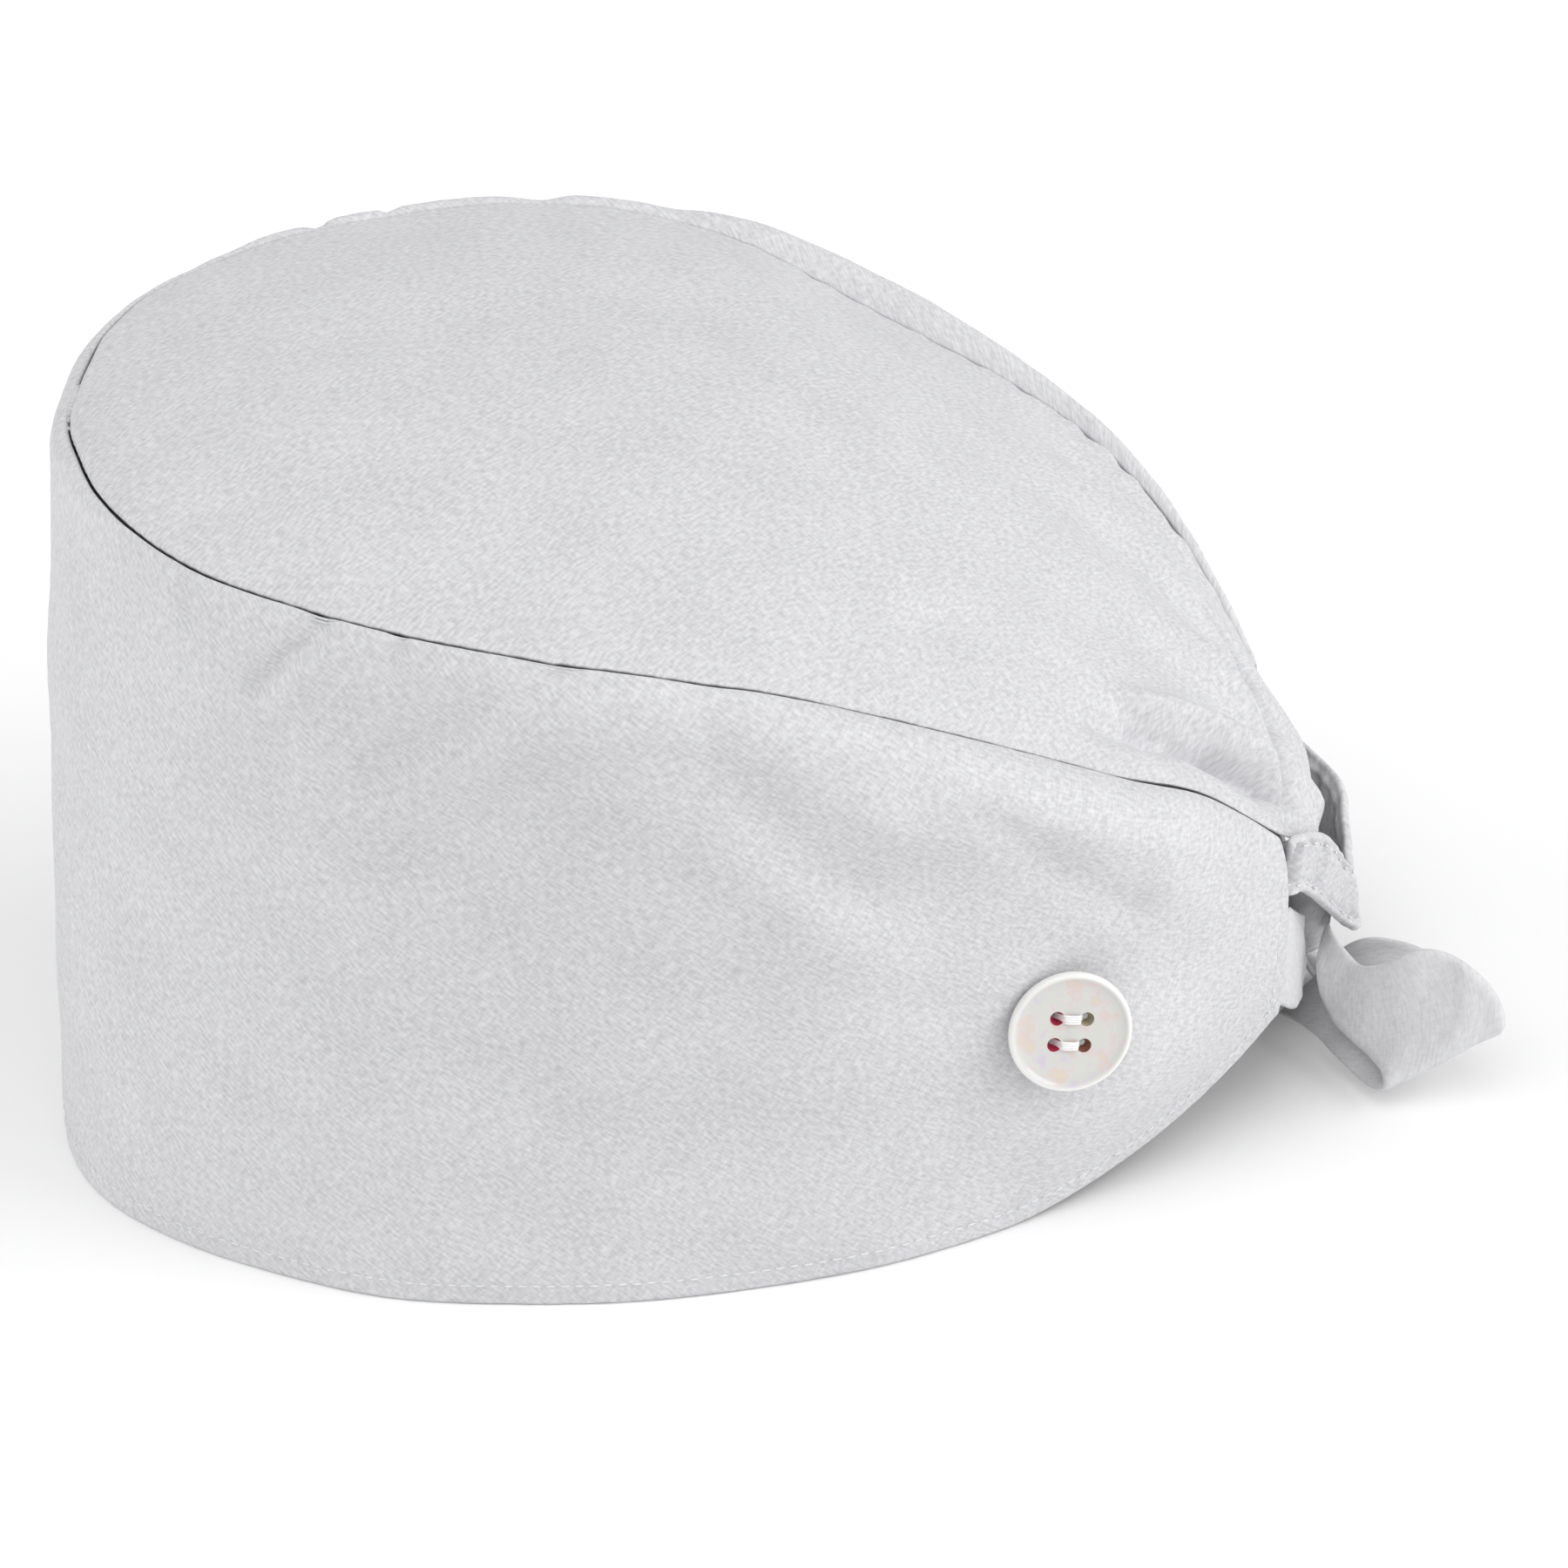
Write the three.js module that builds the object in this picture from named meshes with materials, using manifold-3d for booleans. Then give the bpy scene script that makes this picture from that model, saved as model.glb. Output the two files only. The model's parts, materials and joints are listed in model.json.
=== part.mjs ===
import * as THREE from 'three';
import { mergeVertices } from 'three/addons/utils/BufferGeometryUtils.js';
import Module from 'manifold-3d';

// A scrub cap, in millimetres: +Z up, the forehead toward -Y, the tied back toward +Y.
// The wearer's left is +X. Every cloth piece is a thin wall with a closed skin.

// Driving sizes
const clothWall = 1.5;
const hemWall = 2.2;
const hemHeight = 6;
const tieWall = 1.2;
const strapWall = 2;
const gap = 0.35;
const shoulderDrop = 5;
const wallBulge = 0.8;
const buttonAcross = 22.8;
const buttonThick = 2.5;
const buttonHole = { across: 2.5, alongX: 2.75, alongY: 2.4 };

// How finely the cloth is faceted
const columnsPerSection = 3;
const wallRows = 9;
const rollRows = 3;
const crownColumns = 18;

const clothMaterial = new THREE.MeshStandardMaterial({ color: 0xd9d9da, roughness: 0.88, metalness: 0 });
const tieMaterial = new THREE.MeshStandardMaterial({ color: 0xd4d4d5, roughness: 0.85, metalness: 0 });
const buttonMaterial = new THREE.MeshStandardMaterial({ color: 0xefece8, roughness: 0.3, metalness: 0 });

// One side of the cap, from the middle of the forehead to the free end of the side band.
// rim is the lower edge, seam is where band and crown meet, spine is the crown's middle line,
// roll is how far the band stands out past the seam, and puff how far it swells up over it.
const sections = [
  { rim: [0, -139, 0], seam: [0, -122.3, 148.6], roll: 4.1, puff: 1.1, spine: [0, -122.3, 148.6] },
  { rim: [16.6, -136.4, 0], seam: [13.8, -120.3, 149.3], roll: 3.9, puff: 1, spine: [0, -120, 150.2] },
  { rim: [30.5, -129.6, 0], seam: [27, -117, 149.8], roll: 3.2, puff: 0.5, spine: [0, -116, 152] },
  { rim: [45, -116.2, 0], seam: [41.5, -109.9, 149.6], roll: 2.8, puff: 0.2, spine: [0, -108.5, 154] },
  { rim: [58, -98.5, 0], seam: [55, -98.6, 148], roll: 3, puff: 0.4, spine: [0, -97, 155.5] },
  { rim: [68.2, -79.5, 0], seam: [66.4, -83.5, 146.7], roll: 3.8, puff: 1, spine: [0, -82, 156.5] },
  { rim: [73.8, -57, 0], seam: [76.2, -63.5, 144], roll: 4.2, puff: 1.4, spine: [0, -62, 155.5] },
  { rim: [76.4, -34, 0], seam: [82.7, -43.2, 141.2], roll: 4.2, puff: 1.3, spine: [0, -41, 153] },
  { rim: [75.5, -13, 0], seam: [84.9, -21, 136.4], roll: 4.8, puff: 1.6, spine: [0, -18, 148.5] },
  { rim: [72.6, 7, 0], seam: [82.6, 0.5, 129], roll: 7.2, puff: 3, spine: [0, 4, 141] },
  { rim: [68.4, 21, 0], seam: [77.8, 16.2, 120.5], roll: 9, puff: 4.4, spine: [0, 20, 132] },
  { rim: [61.8, 36.5, 0.3], seam: [73.1, 31.2, 111.9], roll: 9.8, puff: 5.4, spine: [0, 36, 121] },
  { rim: [53.9, 51.5, 3.4], seam: [66.2, 46.4, 101.5], roll: 9.8, puff: 5.8, spine: [0, 52, 107.5] },
  { rim: [44.9, 66, 8.2], seam: [56.5, 61.8, 89.2], roll: 9, puff: 5.3, spine: [0, 68, 91] },
  { rim: [36, 78.6, 14.4], seam: [44, 74.6, 77], roll: 6.6, puff: 3.9, spine: [0, 84, 71.5] },
  { rim: [29.6, 87, 19.8], seam: [30, 88.9, 58.2], roll: 2.2, puff: 1.2, spine: [0, 98.8, 45.4] },
];

// Soft folds and hollows of the side band, each along a line in the side view.
const bandFolds = [
  { fromY: -59, fromZ: 106, toY: -46, toZ: 20, halfWidth: 21, depth: -3.2 },
  { fromY: -38, fromZ: 133, toY: -71, toZ: 118, halfWidth: 6, depth: -1.3 },
  { fromY: -10, fromZ: 124, toY: 14, toZ: 88, halfWidth: 8, depth: -1.7 },
  { fromY: -13, fromZ: 101, toY: 16, toZ: 76, halfWidth: 10, depth: 1.2 },
  { fromY: -79, fromZ: 143, toY: -90, toZ: 131, halfWidth: 3.5, depth: -0.9 },
  { fromY: 48, fromZ: 24, toY: 56, toZ: 28, halfWidth: 18, depth: 6.5 },
  { fromY: 30, fromZ: 84, toY: 50, toZ: 72, halfWidth: 18, depth: -2.6 },
];

// Where the crown is drawn together at the back, its cloth stands in folds.
const gathers = { count: 4, depth: 1.7, from: 0.7, full: 0.93 };
const gatherWay = new THREE.Vector3(0, 0.6, 0.8);

// The strap across the back opening, top edge and bottom edge, from the wearer's left to right.
const strapStations = [
  { x: 30.2, topY: 90.6, topZ: 57.2, bottomY: 89.8, bottomZ: 46 },
  { x: 26, topY: 93.4, topZ: 56, bottomY: 91.8, bottomZ: 43.4 },
  { x: 18, topY: 97.4, topZ: 50.4, bottomY: 94.6, bottomZ: 36.6 },
  { x: 11, topY: 100, topZ: 42.6, bottomY: 98, bottomZ: 28.6 },
  { x: 5, topY: 101.8, topZ: 35.4, bottomY: 101.2, bottomZ: 21.6 },
  { x: -1, topY: 102.2, topZ: 32.6, bottomY: 103.4, bottomZ: 17.4 },
  { x: -8, topY: 101.6, topZ: 36.8, bottomY: 101.8, bottomZ: 22.4 },
  { x: -15, topY: 100.2, topZ: 41, bottomY: 98.8, bottomZ: 28.6 },
  { x: -23, topY: 97.6, topZ: 41.8, bottomY: 95.4, bottomZ: 33.4 },
  { x: -30.2, topY: 91.4, topZ: 46.6, bottomY: 89.8, bottomZ: 38.4 },
];
const strapRuffle = { count: 9, depth: 0.4 };

// A tie: its root lies against the inside of the band, then it turns in behind the neck.
const tieRoot = { from: 0.925, to: 0.995, steps: 3, top: 40.5, bottom: 21 };
const tieStations = [
  { x: 24.2, y: 89.9, top: 39, bottom: 17 },
  { x: 19, y: 92, top: 35.5, bottom: 14.8 },
  { x: 13.2, y: 93.3, top: 31, bottom: 15 },
  { x: 7.8, y: 93.9, top: 27, bottom: 16.5 },
];

const knot = { x: 0, y: 94.4, z: 21.6, halfX: 7.4, halfY: 5, halfZ: 7.6, furrows: 3, furrowDepth: 0.07 };

// The ribbon of the bow's one loop: out over the top, round the fold, and back beneath.
const loopStations = [
  { leftX: 7.3, leftY: 96.9, leftZ: 20.6, rightX: 6.2, rightY: 97.8, rightZ: 23.6 },
  { leftX: 12, leftY: 95.4, leftZ: 18.6, rightX: 13.4, rightY: 100.2, rightZ: 22.4 },
  { leftX: 16, leftY: 95, leftZ: 14.4, rightX: 18, rightY: 102.6, rightZ: 21.4 },
  { leftX: 20, leftY: 96.8, leftZ: 11.2, rightX: 22, rightY: 107.4, rightZ: 23.8 },
  { leftX: 24.6, leftY: 99.8, leftZ: 9.4, rightX: 24.4, rightY: 114, rightZ: 27.6 },
  { leftX: 29.4, leftY: 102.8, leftZ: 8.2, rightX: 27, rightY: 121, rightZ: 26 },
  { leftX: 33.6, leftY: 104.6, leftZ: 7.4, rightX: 31.4, rightY: 126.6, rightZ: 20.8 },
  { leftX: 35.6, leftY: 104.6, leftZ: 5.6, rightX: 34, rightY: 127.8, rightZ: 15.8 },
  { leftX: 33.2, leftY: 103.2, leftZ: 3.6, rightX: 30.6, rightY: 126, rightZ: 13 },
  { leftX: 27.4, leftY: 100.4, leftZ: 3, rightX: 21.6, rightY: 121.6, rightZ: 17 },
  { leftX: 21, leftY: 97, leftZ: 4, rightX: 15, rightY: 115, rightZ: 21.4 },
  { leftX: 15, leftY: 93.6, leftZ: 5.2, rightX: 10, rightY: 109, rightZ: 21.2 },
  { leftX: 9.6, leftY: 90.4, leftZ: 5, rightX: 6, rightY: 104, rightZ: 19.2 },
  { leftX: 5.6, leftY: 88, leftZ: 4, rightX: 4, rightY: 99.8, rightZ: 15.6 },
];

// The two free ends hang behind the loop and stop short of the floor.
const tailLeftStations = [
  { leftX: -4.6, leftY: 96.2, leftZ: 14.5, rightX: 1.4, rightY: 97, rightZ: 14.3 },
  { leftX: -8, leftY: 101, leftZ: 8.6, rightX: 5.4, rightY: 103, rightZ: 8 },
  { leftX: -9.6, leftY: 106, leftZ: 5.8, rightX: 10, rightY: 108.6, rightZ: 5.4 },
  { leftX: -9, leftY: 111.6, leftZ: 4.6, rightX: 12, rightY: 114.6, rightZ: 4 },
  { leftX: -8.4, leftY: 117, leftZ: 4.2, rightX: 12.8, rightY: 120, rightZ: 3.4 },
];
const tailRightStations = [
  { leftX: -6, leftY: 92.6, leftZ: 14, rightX: -0.4, rightY: 93.2, rightZ: 13.4 },
  { leftX: -11, leftY: 94.8, leftZ: 7, rightX: 1.4, rightY: 97, rightZ: 6.4 },
  { leftX: -13, leftY: 99.4, leftZ: 3.6, rightX: 4.4, rightY: 102.6, rightZ: 3.2 },
  { leftX: -14, leftY: 104.4, leftZ: 2.6, rightX: 5, rightY: 108, rightZ: 2.2 },
  { leftX: -14.6, leftY: 109, leftZ: 2.2, rightX: 4.4, rightY: 113, rightZ: 1.8 },
];

// A button is sewn low on each side, just in front of the ties.
const buttonSeat = { along: 0.773, height: 47.8, turn: 10, tilt: 9 };

const up = new THREE.Vector3(0, 0, 1);
const lastSection = sections.length - 1;
const columnsPerSide = lastSection * columnsPerSection;

// A smooth line through one column of the section table, from the right free end round the
// forehead to the left free end. Its middle, at 0.5, is the middle of the forehead.
function wholeLine(column) {
  const left = sections.map((row) => new THREE.Vector3(...row[column]));
  const right = left.slice(1).reverse().map((p) => new THREE.Vector3(-p.x, p.y, p.z));
  return new THREE.CatmullRomCurve3([...right, ...left]);
}

const rimCurve = wholeLine('rim');
const seamLine = wholeLine('seam');
const spineLine = new THREE.CatmullRomCurve3(sections.map((row) => new THREE.Vector3(...row.spine)));
const shoulderLine = new THREE.CatmullRomCurve3(
  sections.map((row, i) => new THREE.Vector3(row.roll, row.puff, i)),
);

// The lower edge lies on the resting plane, and lifts off it only toward the back.
function rimPoint(v) {
  const point = rimCurve.getPoint(v);
  return point.setZ(Math.max(point.z, 0));
}

// The level outward direction at a place along the seam.
function outward(v) {
  const along = seamLine.getTangent(v);
  return new THREE.Vector3(along.y, -along.x, 0).normalize();
}

// The direction through the cloth at the seam, shared by band and crown so that they meet squarely.
function seamInward(v) {
  const down = new THREE.Vector3().crossVectors(seamLine.getTangent(v), outward(v)).normalize();
  return down.z > 0 ? down.negate() : down;
}

function foldRelief(y, z) {
  let relief = 0;
  for (const fold of bandFolds) {
    const line = new THREE.Line3(
      new THREE.Vector3(0, fold.fromY, fold.fromZ),
      new THREE.Vector3(0, fold.toY, fold.toZ),
    );
    const place = new THREE.Vector3(0, y, z);
    const nearest = line.closestPointToPoint(place, true, new THREE.Vector3());
    relief += fold.depth * Math.exp(-((place.distanceTo(nearest) / fold.halfWidth) ** 2));
  }
  return relief;
}

// The outside of the band's shoulder, from its foot at angle 0 to the seam at a right angle,
// with the direction through the cloth there.
function bandShoulder(v, angle) {
  const { x: roll, y: puff } = shoulderLine.getPoint(Math.abs(2 * v - 1));
  const point = seamLine.getPoint(v);
  point.addScaledVector(outward(v), roll * Math.cos(angle));
  point.addScaledVector(up, puff * Math.sin(2 * angle) - shoulderDrop * (1 - Math.sin(angle)));
  const inwards = outward(v).multiplyScalar(-Math.cos(angle));
  return { point, inwards: inwards.addScaledVector(seamInward(v), Math.sin(angle)).normalize() };
}

// The outside of the band between the rim, at rise 0, and its shoulder, at rise 1.
function bandWall(v, rise) {
  const place = rimPoint(v).lerp(bandShoulder(v, 0).point, rise);
  const slack = Math.sin(Math.PI * rise);
  return place.addScaledVector(outward(v), slack * (wallBulge + foldRelief(place.y, place.z)));
}

function bandNormal(v, rise) {
  const step = 0.004;
  const along = bandWall(Math.min(v + step, 1), rise).sub(bandWall(Math.max(v - step, 0), rise));
  const upward = bandWall(v, Math.min(rise + step, 1)).sub(bandWall(v, Math.max(rise - step, 0)));
  const normal = along.cross(upward).normalize();
  return normal.dot(outward(v)) < 0 ? normal.negate() : normal;
}

// The rise on the band at which it stands at a given height.
function riseAt(v, height) {
  const foot = bandWall(v, 0).z;
  return (height - foot) / (bandWall(v, 1).z - foot);
}

// A closed wall between an outer and an inner grid of points of the same size.
function wall(outer, inner) {
  const rows = outer.length;
  const columns = outer[0].length;
  const points = [...outer.flat(), ...inner.flat()];
  const innerStart = rows * columns;
  const index = [];
  const quad = (a, b, c, d) => index.push(a, b, c, a, c, d);
  for (let i = 0; i < rows - 1; i += 1) {
    for (let j = 0; j < columns - 1; j += 1) {
      const a = i * columns + j;
      quad(a, a + 1, a + columns + 1, a + columns);
      quad(innerStart + a, innerStart + a + columns, innerStart + a + columns + 1, innerStart + a + 1);
    }
  }
  for (let i = 0; i < rows - 1; i += 1) {
    const first = i * columns;
    const last = first + columns - 1;
    quad(first, first + columns, innerStart + first + columns, innerStart + first);
    quad(last + columns, last, innerStart + last, innerStart + last + columns);
  }
  for (let j = 0; j < columns - 1; j += 1) {
    const top = (rows - 1) * columns + j;
    quad(j + 1, j, innerStart + j, innerStart + j + 1);
    quad(top, top + 1, innerStart + top + 1, innerStart + top);
  }
  const geometry = new THREE.BufferGeometry();
  geometry.setAttribute('position', new THREE.Float32BufferAttribute(points.flatMap((p) => p.toArray()), 3));
  geometry.setIndex(index);
  return facingOut(geometry);
}

function facingOut(geometry) {
  const at = geometry.getAttribute('position');
  const index = geometry.getIndex().array;
  const corner = (k) => new THREE.Vector3().fromBufferAttribute(at, index[k]);
  let volume = 0;
  for (let k = 0; k < index.length; k += 3) {
    volume += corner(k).dot(corner(k + 1).cross(corner(k + 2)));
  }
  if (volume < 0) {
    geometry.setIndex(Array.from(index).reverse());
  }
  return geometry;
}

// The direction square to a grid of points at one of them.
function gridNormal(grid, i, j) {
  const row = (k) => grid[Math.min(Math.max(k, 0), grid.length - 1)];
  const column = (k) => Math.min(Math.max(k, 0), grid[0].length - 1);
  const across = row(i)[column(j + 1)].clone().sub(row(i)[column(j - 1)]);
  const along = row(i + 1)[j].clone().sub(row(i - 1)[j]);
  return across.cross(along).normalize();
}

// The side band: one wall from the hem to the seam, open at the back.
function sideBand() {
  const outer = [];
  const inner = [];
  const places = Array.from({ length: 2 * columnsPerSide + 1 }, (_, k) => k / (2 * columnsPerSide));
  for (let i = 0; i <= wallRows + 1; i += 1) {
    outer.push([]);
    inner.push([]);
    for (const v of places) {
      const hemRise = hemHeight / rimPoint(v).distanceTo(seamLine.getPoint(v));
      const rise = i === 0 ? 0 : hemRise + ((1 - hemRise) * (i - 1)) / wallRows;
      const thick = i < 2 ? hemWall : clothWall;
      const inwards = bandNormal(v, rise).negate();
      const point = bandWall(v, rise);
      if (i === 0) {
        inwards.setZ(0).normalize();
      }
      outer[i].push(point);
      inner[i].push(point.clone().addScaledVector(inwards, thick));
    }
  }
  for (let k = 1; k <= rollRows; k += 1) {
    outer.push([]);
    inner.push([]);
    const angle = (Math.PI / 2) * (k / rollRows);
    for (const v of places) {
      const { point, inwards } = bandShoulder(v, angle);
      outer.at(-1).push(point);
      inner.at(-1).push(point.clone().addScaledVector(inwards, clothWall));
    }
  }
  return wall(outer, inner);
}

// The crown: strips from side to side, edge to edge with the band, drawn together at the back.
function crown() {
  const outer = [];
  const inner = [];
  for (let i = 1; i <= columnsPerSide; i += 1) {
    const u = i / columnsPerSide;
    const v = 0.5 + u / 2;
    const edge = seamLine.getPoint(v).addScaledVector(outward(v), -gap);
    const spine = spineLine.getPoint(u);
    const drawn = THREE.MathUtils.smoothstep(u, gathers.from, gathers.full) * gathers.depth;
    const strip = [];
    for (let j = 0; j <= crownColumns; j += 1) {
      const s = (2 * j) / crownColumns - 1;
      const point = new THREE.Vector3(
        edge.x * s,
        THREE.MathUtils.lerp(spine.y, edge.y, s * s),
        THREE.MathUtils.lerp(spine.z, edge.z, s * s),
      );
      const crease = drawn * (1 - s * s) * Math.cos(Math.PI * gathers.count * s);
      strip.push(point.addScaledVector(gatherWay, crease));
    }
    outer.push(strip);
  }
  for (let i = 0; i < outer.length; i += 1) {
    const v = 0.5 + (i + 1) / columnsPerSide / 2;
    const strip = outer[i].map((point, j) => {
      const inwards = gridNormal(outer, i, j);
      if (inwards.z > 0) {
        inwards.negate();
      }
      if (j === 0 || j === crownColumns) {
        inwards.copy(seamInward(v));
        inwards.x *= j === 0 ? -1 : 1;
      }
      return point.clone().addScaledVector(inwards, clothWall);
    });
    inner.push(strip);
  }
  return wall(outer, inner);
}

// A ribbon between two edge lines, as thick as the cloth laid double, with ruffles if it has any.
function ribbon(edges, { thick, along, across, ruffle = { count: 0, depth: 0 } }) {
  const first = new THREE.CatmullRomCurve3(edges.map((edge) => edge[0]));
  const second = new THREE.CatmullRomCurve3(edges.map((edge) => edge[1]));
  const middle = [];
  for (let i = 0; i <= along; i += 1) {
    const start = first.getPoint(i / along);
    const end = second.getPoint(i / along);
    middle.push(Array.from({ length: across + 1 }, (_, j) => start.clone().lerp(end, j / across)));
  }
  const side = (sign) => middle.map((row, i) => row.map((point, j) => {
    const wave = ruffle.depth * Math.sin((2 * Math.PI * ruffle.count * i) / along);
    return point.clone().addScaledVector(gridNormal(middle, i, j), wave + (sign * thick) / 2);
  }));
  return wall(side(1), side(-1));
}

function edgesOf(stations) {
  return stations.map((row) => [
    new THREE.Vector3(row.leftX, row.leftY, row.leftZ),
    new THREE.Vector3(row.rightX, row.rightY, row.rightZ),
  ]);
}

function strap() {
  const edges = strapStations.map((row) => [
    new THREE.Vector3(row.x, row.topY, row.topZ),
    new THREE.Vector3(row.x, row.bottomY, row.bottomZ),
  ]);
  return ribbon(edges, { thick: strapWall, along: 45, across: 2, ruffle: strapRuffle });
}

// side is 1 for the wearer's left tie and -1 for the right one.
function tie(side) {
  const inset = hemWall + 1.4 * gap + tieWall / 2;
  const edges = [];
  for (let k = 0; k <= tieRoot.steps; k += 1) {
    const u = THREE.MathUtils.lerp(tieRoot.from, tieRoot.to, k / tieRoot.steps);
    const v = 0.5 + u / 2;
    edges.push([tieRoot.top, tieRoot.bottom].map((height) => {
      const rise = riseAt(v, height);
      return bandWall(v, rise).addScaledVector(bandNormal(v, rise), -inset);
    }));
  }
  for (const row of tieStations) {
    edges.push([new THREE.Vector3(row.x, row.y, row.top), new THREE.Vector3(row.x, row.y, row.bottom)]);
  }
  const turned = edges.map((pair) => pair.map((p) => new THREE.Vector3(side * p.x, p.y, p.z)));
  return ribbon(turned, { thick: tieWall, along: 18, across: 3 });
}

function knotBody() {
  const geometry = new THREE.SphereGeometry(1, 18, 11);
  geometry.deleteAttribute('normal');
  geometry.deleteAttribute('uv');
  const body = mergeVertices(geometry);
  const at = body.getAttribute('position');
  for (let k = 0; k < at.count; k += 1) {
    const point = new THREE.Vector3().fromBufferAttribute(at, k);
    const wave = 1 - Math.cos(knot.furrows * Math.PI * point.z);
    const furrow = 1 - knot.furrowDepth * wave * (1 - point.x ** 2);
    at.setXYZ(
      k,
      knot.x + knot.halfX * point.x * furrow,
      knot.y + knot.halfY * point.y * furrow,
      knot.z + knot.halfZ * point.z,
    );
  }
  return facingOut(body);
}

const wasm = await Module();
wasm.setup();

function asSolid(geometry) {
  const bare = geometry.clone();
  bare.deleteAttribute('normal');
  bare.deleteAttribute('uv');
  const merged = mergeVertices(bare);
  return new wasm.Manifold(new wasm.Mesh({
    numProp: 3,
    vertProperties: new Float32Array(merged.getAttribute('position').array),
    triVerts: new Uint32Array(merged.getIndex().array),
  }));
}

function asGeometry(solid) {
  const mesh = solid.getMesh();
  const geometry = new THREE.BufferGeometry();
  geometry.setAttribute('position', new THREE.BufferAttribute(mesh.vertProperties, 3));
  geometry.setIndex(new THREE.BufferAttribute(mesh.triVerts, 1));
  return geometry;
}

// A turned disc with a raised ring round a shallow dish, and four holes. Its back is at height 0.
function buttonDisc() {
  const radius = buttonAcross / 2;
  const holeRadius = buttonHole.across / 2;
  const edgeRound = 0.6;
  const ringWidth = 1.3;
  const dishDepth = 0.7;
  const profile = [
    [0, 0],
    [radius - edgeRound, 0],
    [radius, edgeRound],
    [radius, buttonThick - edgeRound],
    [radius - edgeRound, buttonThick],
    [radius - edgeRound - ringWidth, buttonThick],
    [radius - edgeRound - ringWidth - dishDepth, buttonThick - dishDepth],
    [0, buttonThick - dishDepth],
  ].map(([across, height]) => new THREE.Vector2(across, height));
  let disc = asSolid(new THREE.LatheGeometry(profile, 26).rotateX(Math.PI / 2));
  for (const x of [-buttonHole.alongX, buttonHole.alongX]) {
    for (const y of [-buttonHole.alongY, buttonHole.alongY]) {
      const drill = new THREE.CylinderGeometry(holeRadius, holeRadius, 4 * buttonThick, 10);
      disc = disc.subtract(asSolid(drill.rotateX(Math.PI / 2).translate(x, y, 0)));
    }
  }
  return asGeometry(disc);
}

// A button lies on the band, turned a little up and forward on its sewn shank.
function placeButton(mesh, side) {
  const v = 0.5 + buttonSeat.along / 2;
  const rise = riseAt(v, buttonSeat.height);
  const seat = bandWall(v, rise);
  const normal = bandNormal(v, rise);
  const turned = normal.clone().applyAxisAngle(up, -THREE.MathUtils.degToRad(buttonSeat.turn));
  const level = new THREE.Vector3().crossVectors(turned, up).normalize();
  turned.applyAxisAngle(level, THREE.MathUtils.degToRad(buttonSeat.tilt));
  const lift = gap + (buttonAcross / 2) * Math.sin(turned.angleTo(normal));
  seat.addScaledVector(normal, lift);
  seat.x *= side;
  turned.x *= side;
  const across = new THREE.Vector3().crossVectors(up, turned).normalize();
  const upright = new THREE.Vector3().crossVectors(turned, across);
  mesh.position.copy(seat);
  mesh.quaternion.setFromRotationMatrix(new THREE.Matrix4().makeBasis(across, upright, turned));
}

const cap = new THREE.Group();

function addPiece(name, geometry, material) {
  const mesh = new THREE.Mesh(geometry, material);
  mesh.name = name;
  cap.add(mesh);
  return mesh;
}

const looseRibbon = { thick: tieWall, across: 3 };
addPiece('side_band', sideBand(), clothMaterial);
addPiece('crown', crown(), clothMaterial);
addPiece('back_strap', strap(), clothMaterial);
addPiece('tie_left', tie(1), tieMaterial);
addPiece('tie_right', tie(-1), tieMaterial);
addPiece('tie_knot', knotBody(), tieMaterial);
addPiece('bow_loop', ribbon(edgesOf(loopStations), { ...looseRibbon, along: 39 }), tieMaterial);
addPiece('tail_left', ribbon(edgesOf(tailLeftStations), { ...looseRibbon, along: 8 }), tieMaterial);
addPiece('tail_right', ribbon(edgesOf(tailRightStations), { ...looseRibbon, along: 8 }), tieMaterial);
placeButton(addPiece('button_left', buttonDisc(), buttonMaterial), 1);
placeButton(addPiece('button_right', buttonDisc(), buttonMaterial), -1);

// The origin is on the resting plane, under the middle of the whole cap.
cap.updateMatrixWorld(true);
const reach = new THREE.Box3().setFromObject(cap, true);
const middle = reach.getCenter(new THREE.Vector3());
cap.position.set(-middle.x, -middle.y, -reach.min.z);
cap.updateMatrixWorld(true);

export default cap;
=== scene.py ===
import json
import math

import bmesh
import bpy
import numpy as np
from mathutils import Matrix


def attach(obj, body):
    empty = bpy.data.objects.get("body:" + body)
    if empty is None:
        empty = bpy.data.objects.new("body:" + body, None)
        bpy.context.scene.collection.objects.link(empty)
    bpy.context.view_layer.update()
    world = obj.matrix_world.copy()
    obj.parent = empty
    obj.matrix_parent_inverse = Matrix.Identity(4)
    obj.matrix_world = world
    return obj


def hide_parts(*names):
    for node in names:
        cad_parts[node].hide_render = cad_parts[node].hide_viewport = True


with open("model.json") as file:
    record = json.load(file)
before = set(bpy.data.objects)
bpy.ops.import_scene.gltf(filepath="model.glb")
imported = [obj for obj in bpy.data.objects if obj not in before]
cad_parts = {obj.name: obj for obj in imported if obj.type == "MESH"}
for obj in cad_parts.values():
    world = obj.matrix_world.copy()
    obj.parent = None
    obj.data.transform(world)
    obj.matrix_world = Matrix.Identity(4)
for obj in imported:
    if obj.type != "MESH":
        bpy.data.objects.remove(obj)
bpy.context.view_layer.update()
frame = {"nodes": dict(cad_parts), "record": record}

# The side band is the upright wall of the cap: pale grey cotton twill, cut as one curved strip.
# Its lower edge is turned up into a narrow stitched hem, its upper edge is sewn to the crown, and
# its two ends stop at the nape. Sizes are in millimetres, measured from under the middle of the rim.
to_frame_y = 5.563
shoulder_drop = 5
wall_bulge = 0.8
left_fall = 6
band_thick = 0.8
seam_round = 0.9
seam_allowance = 7.0
hem_thick = 1.9
hem_height = 6.0
fold_round = 0.9

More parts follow.
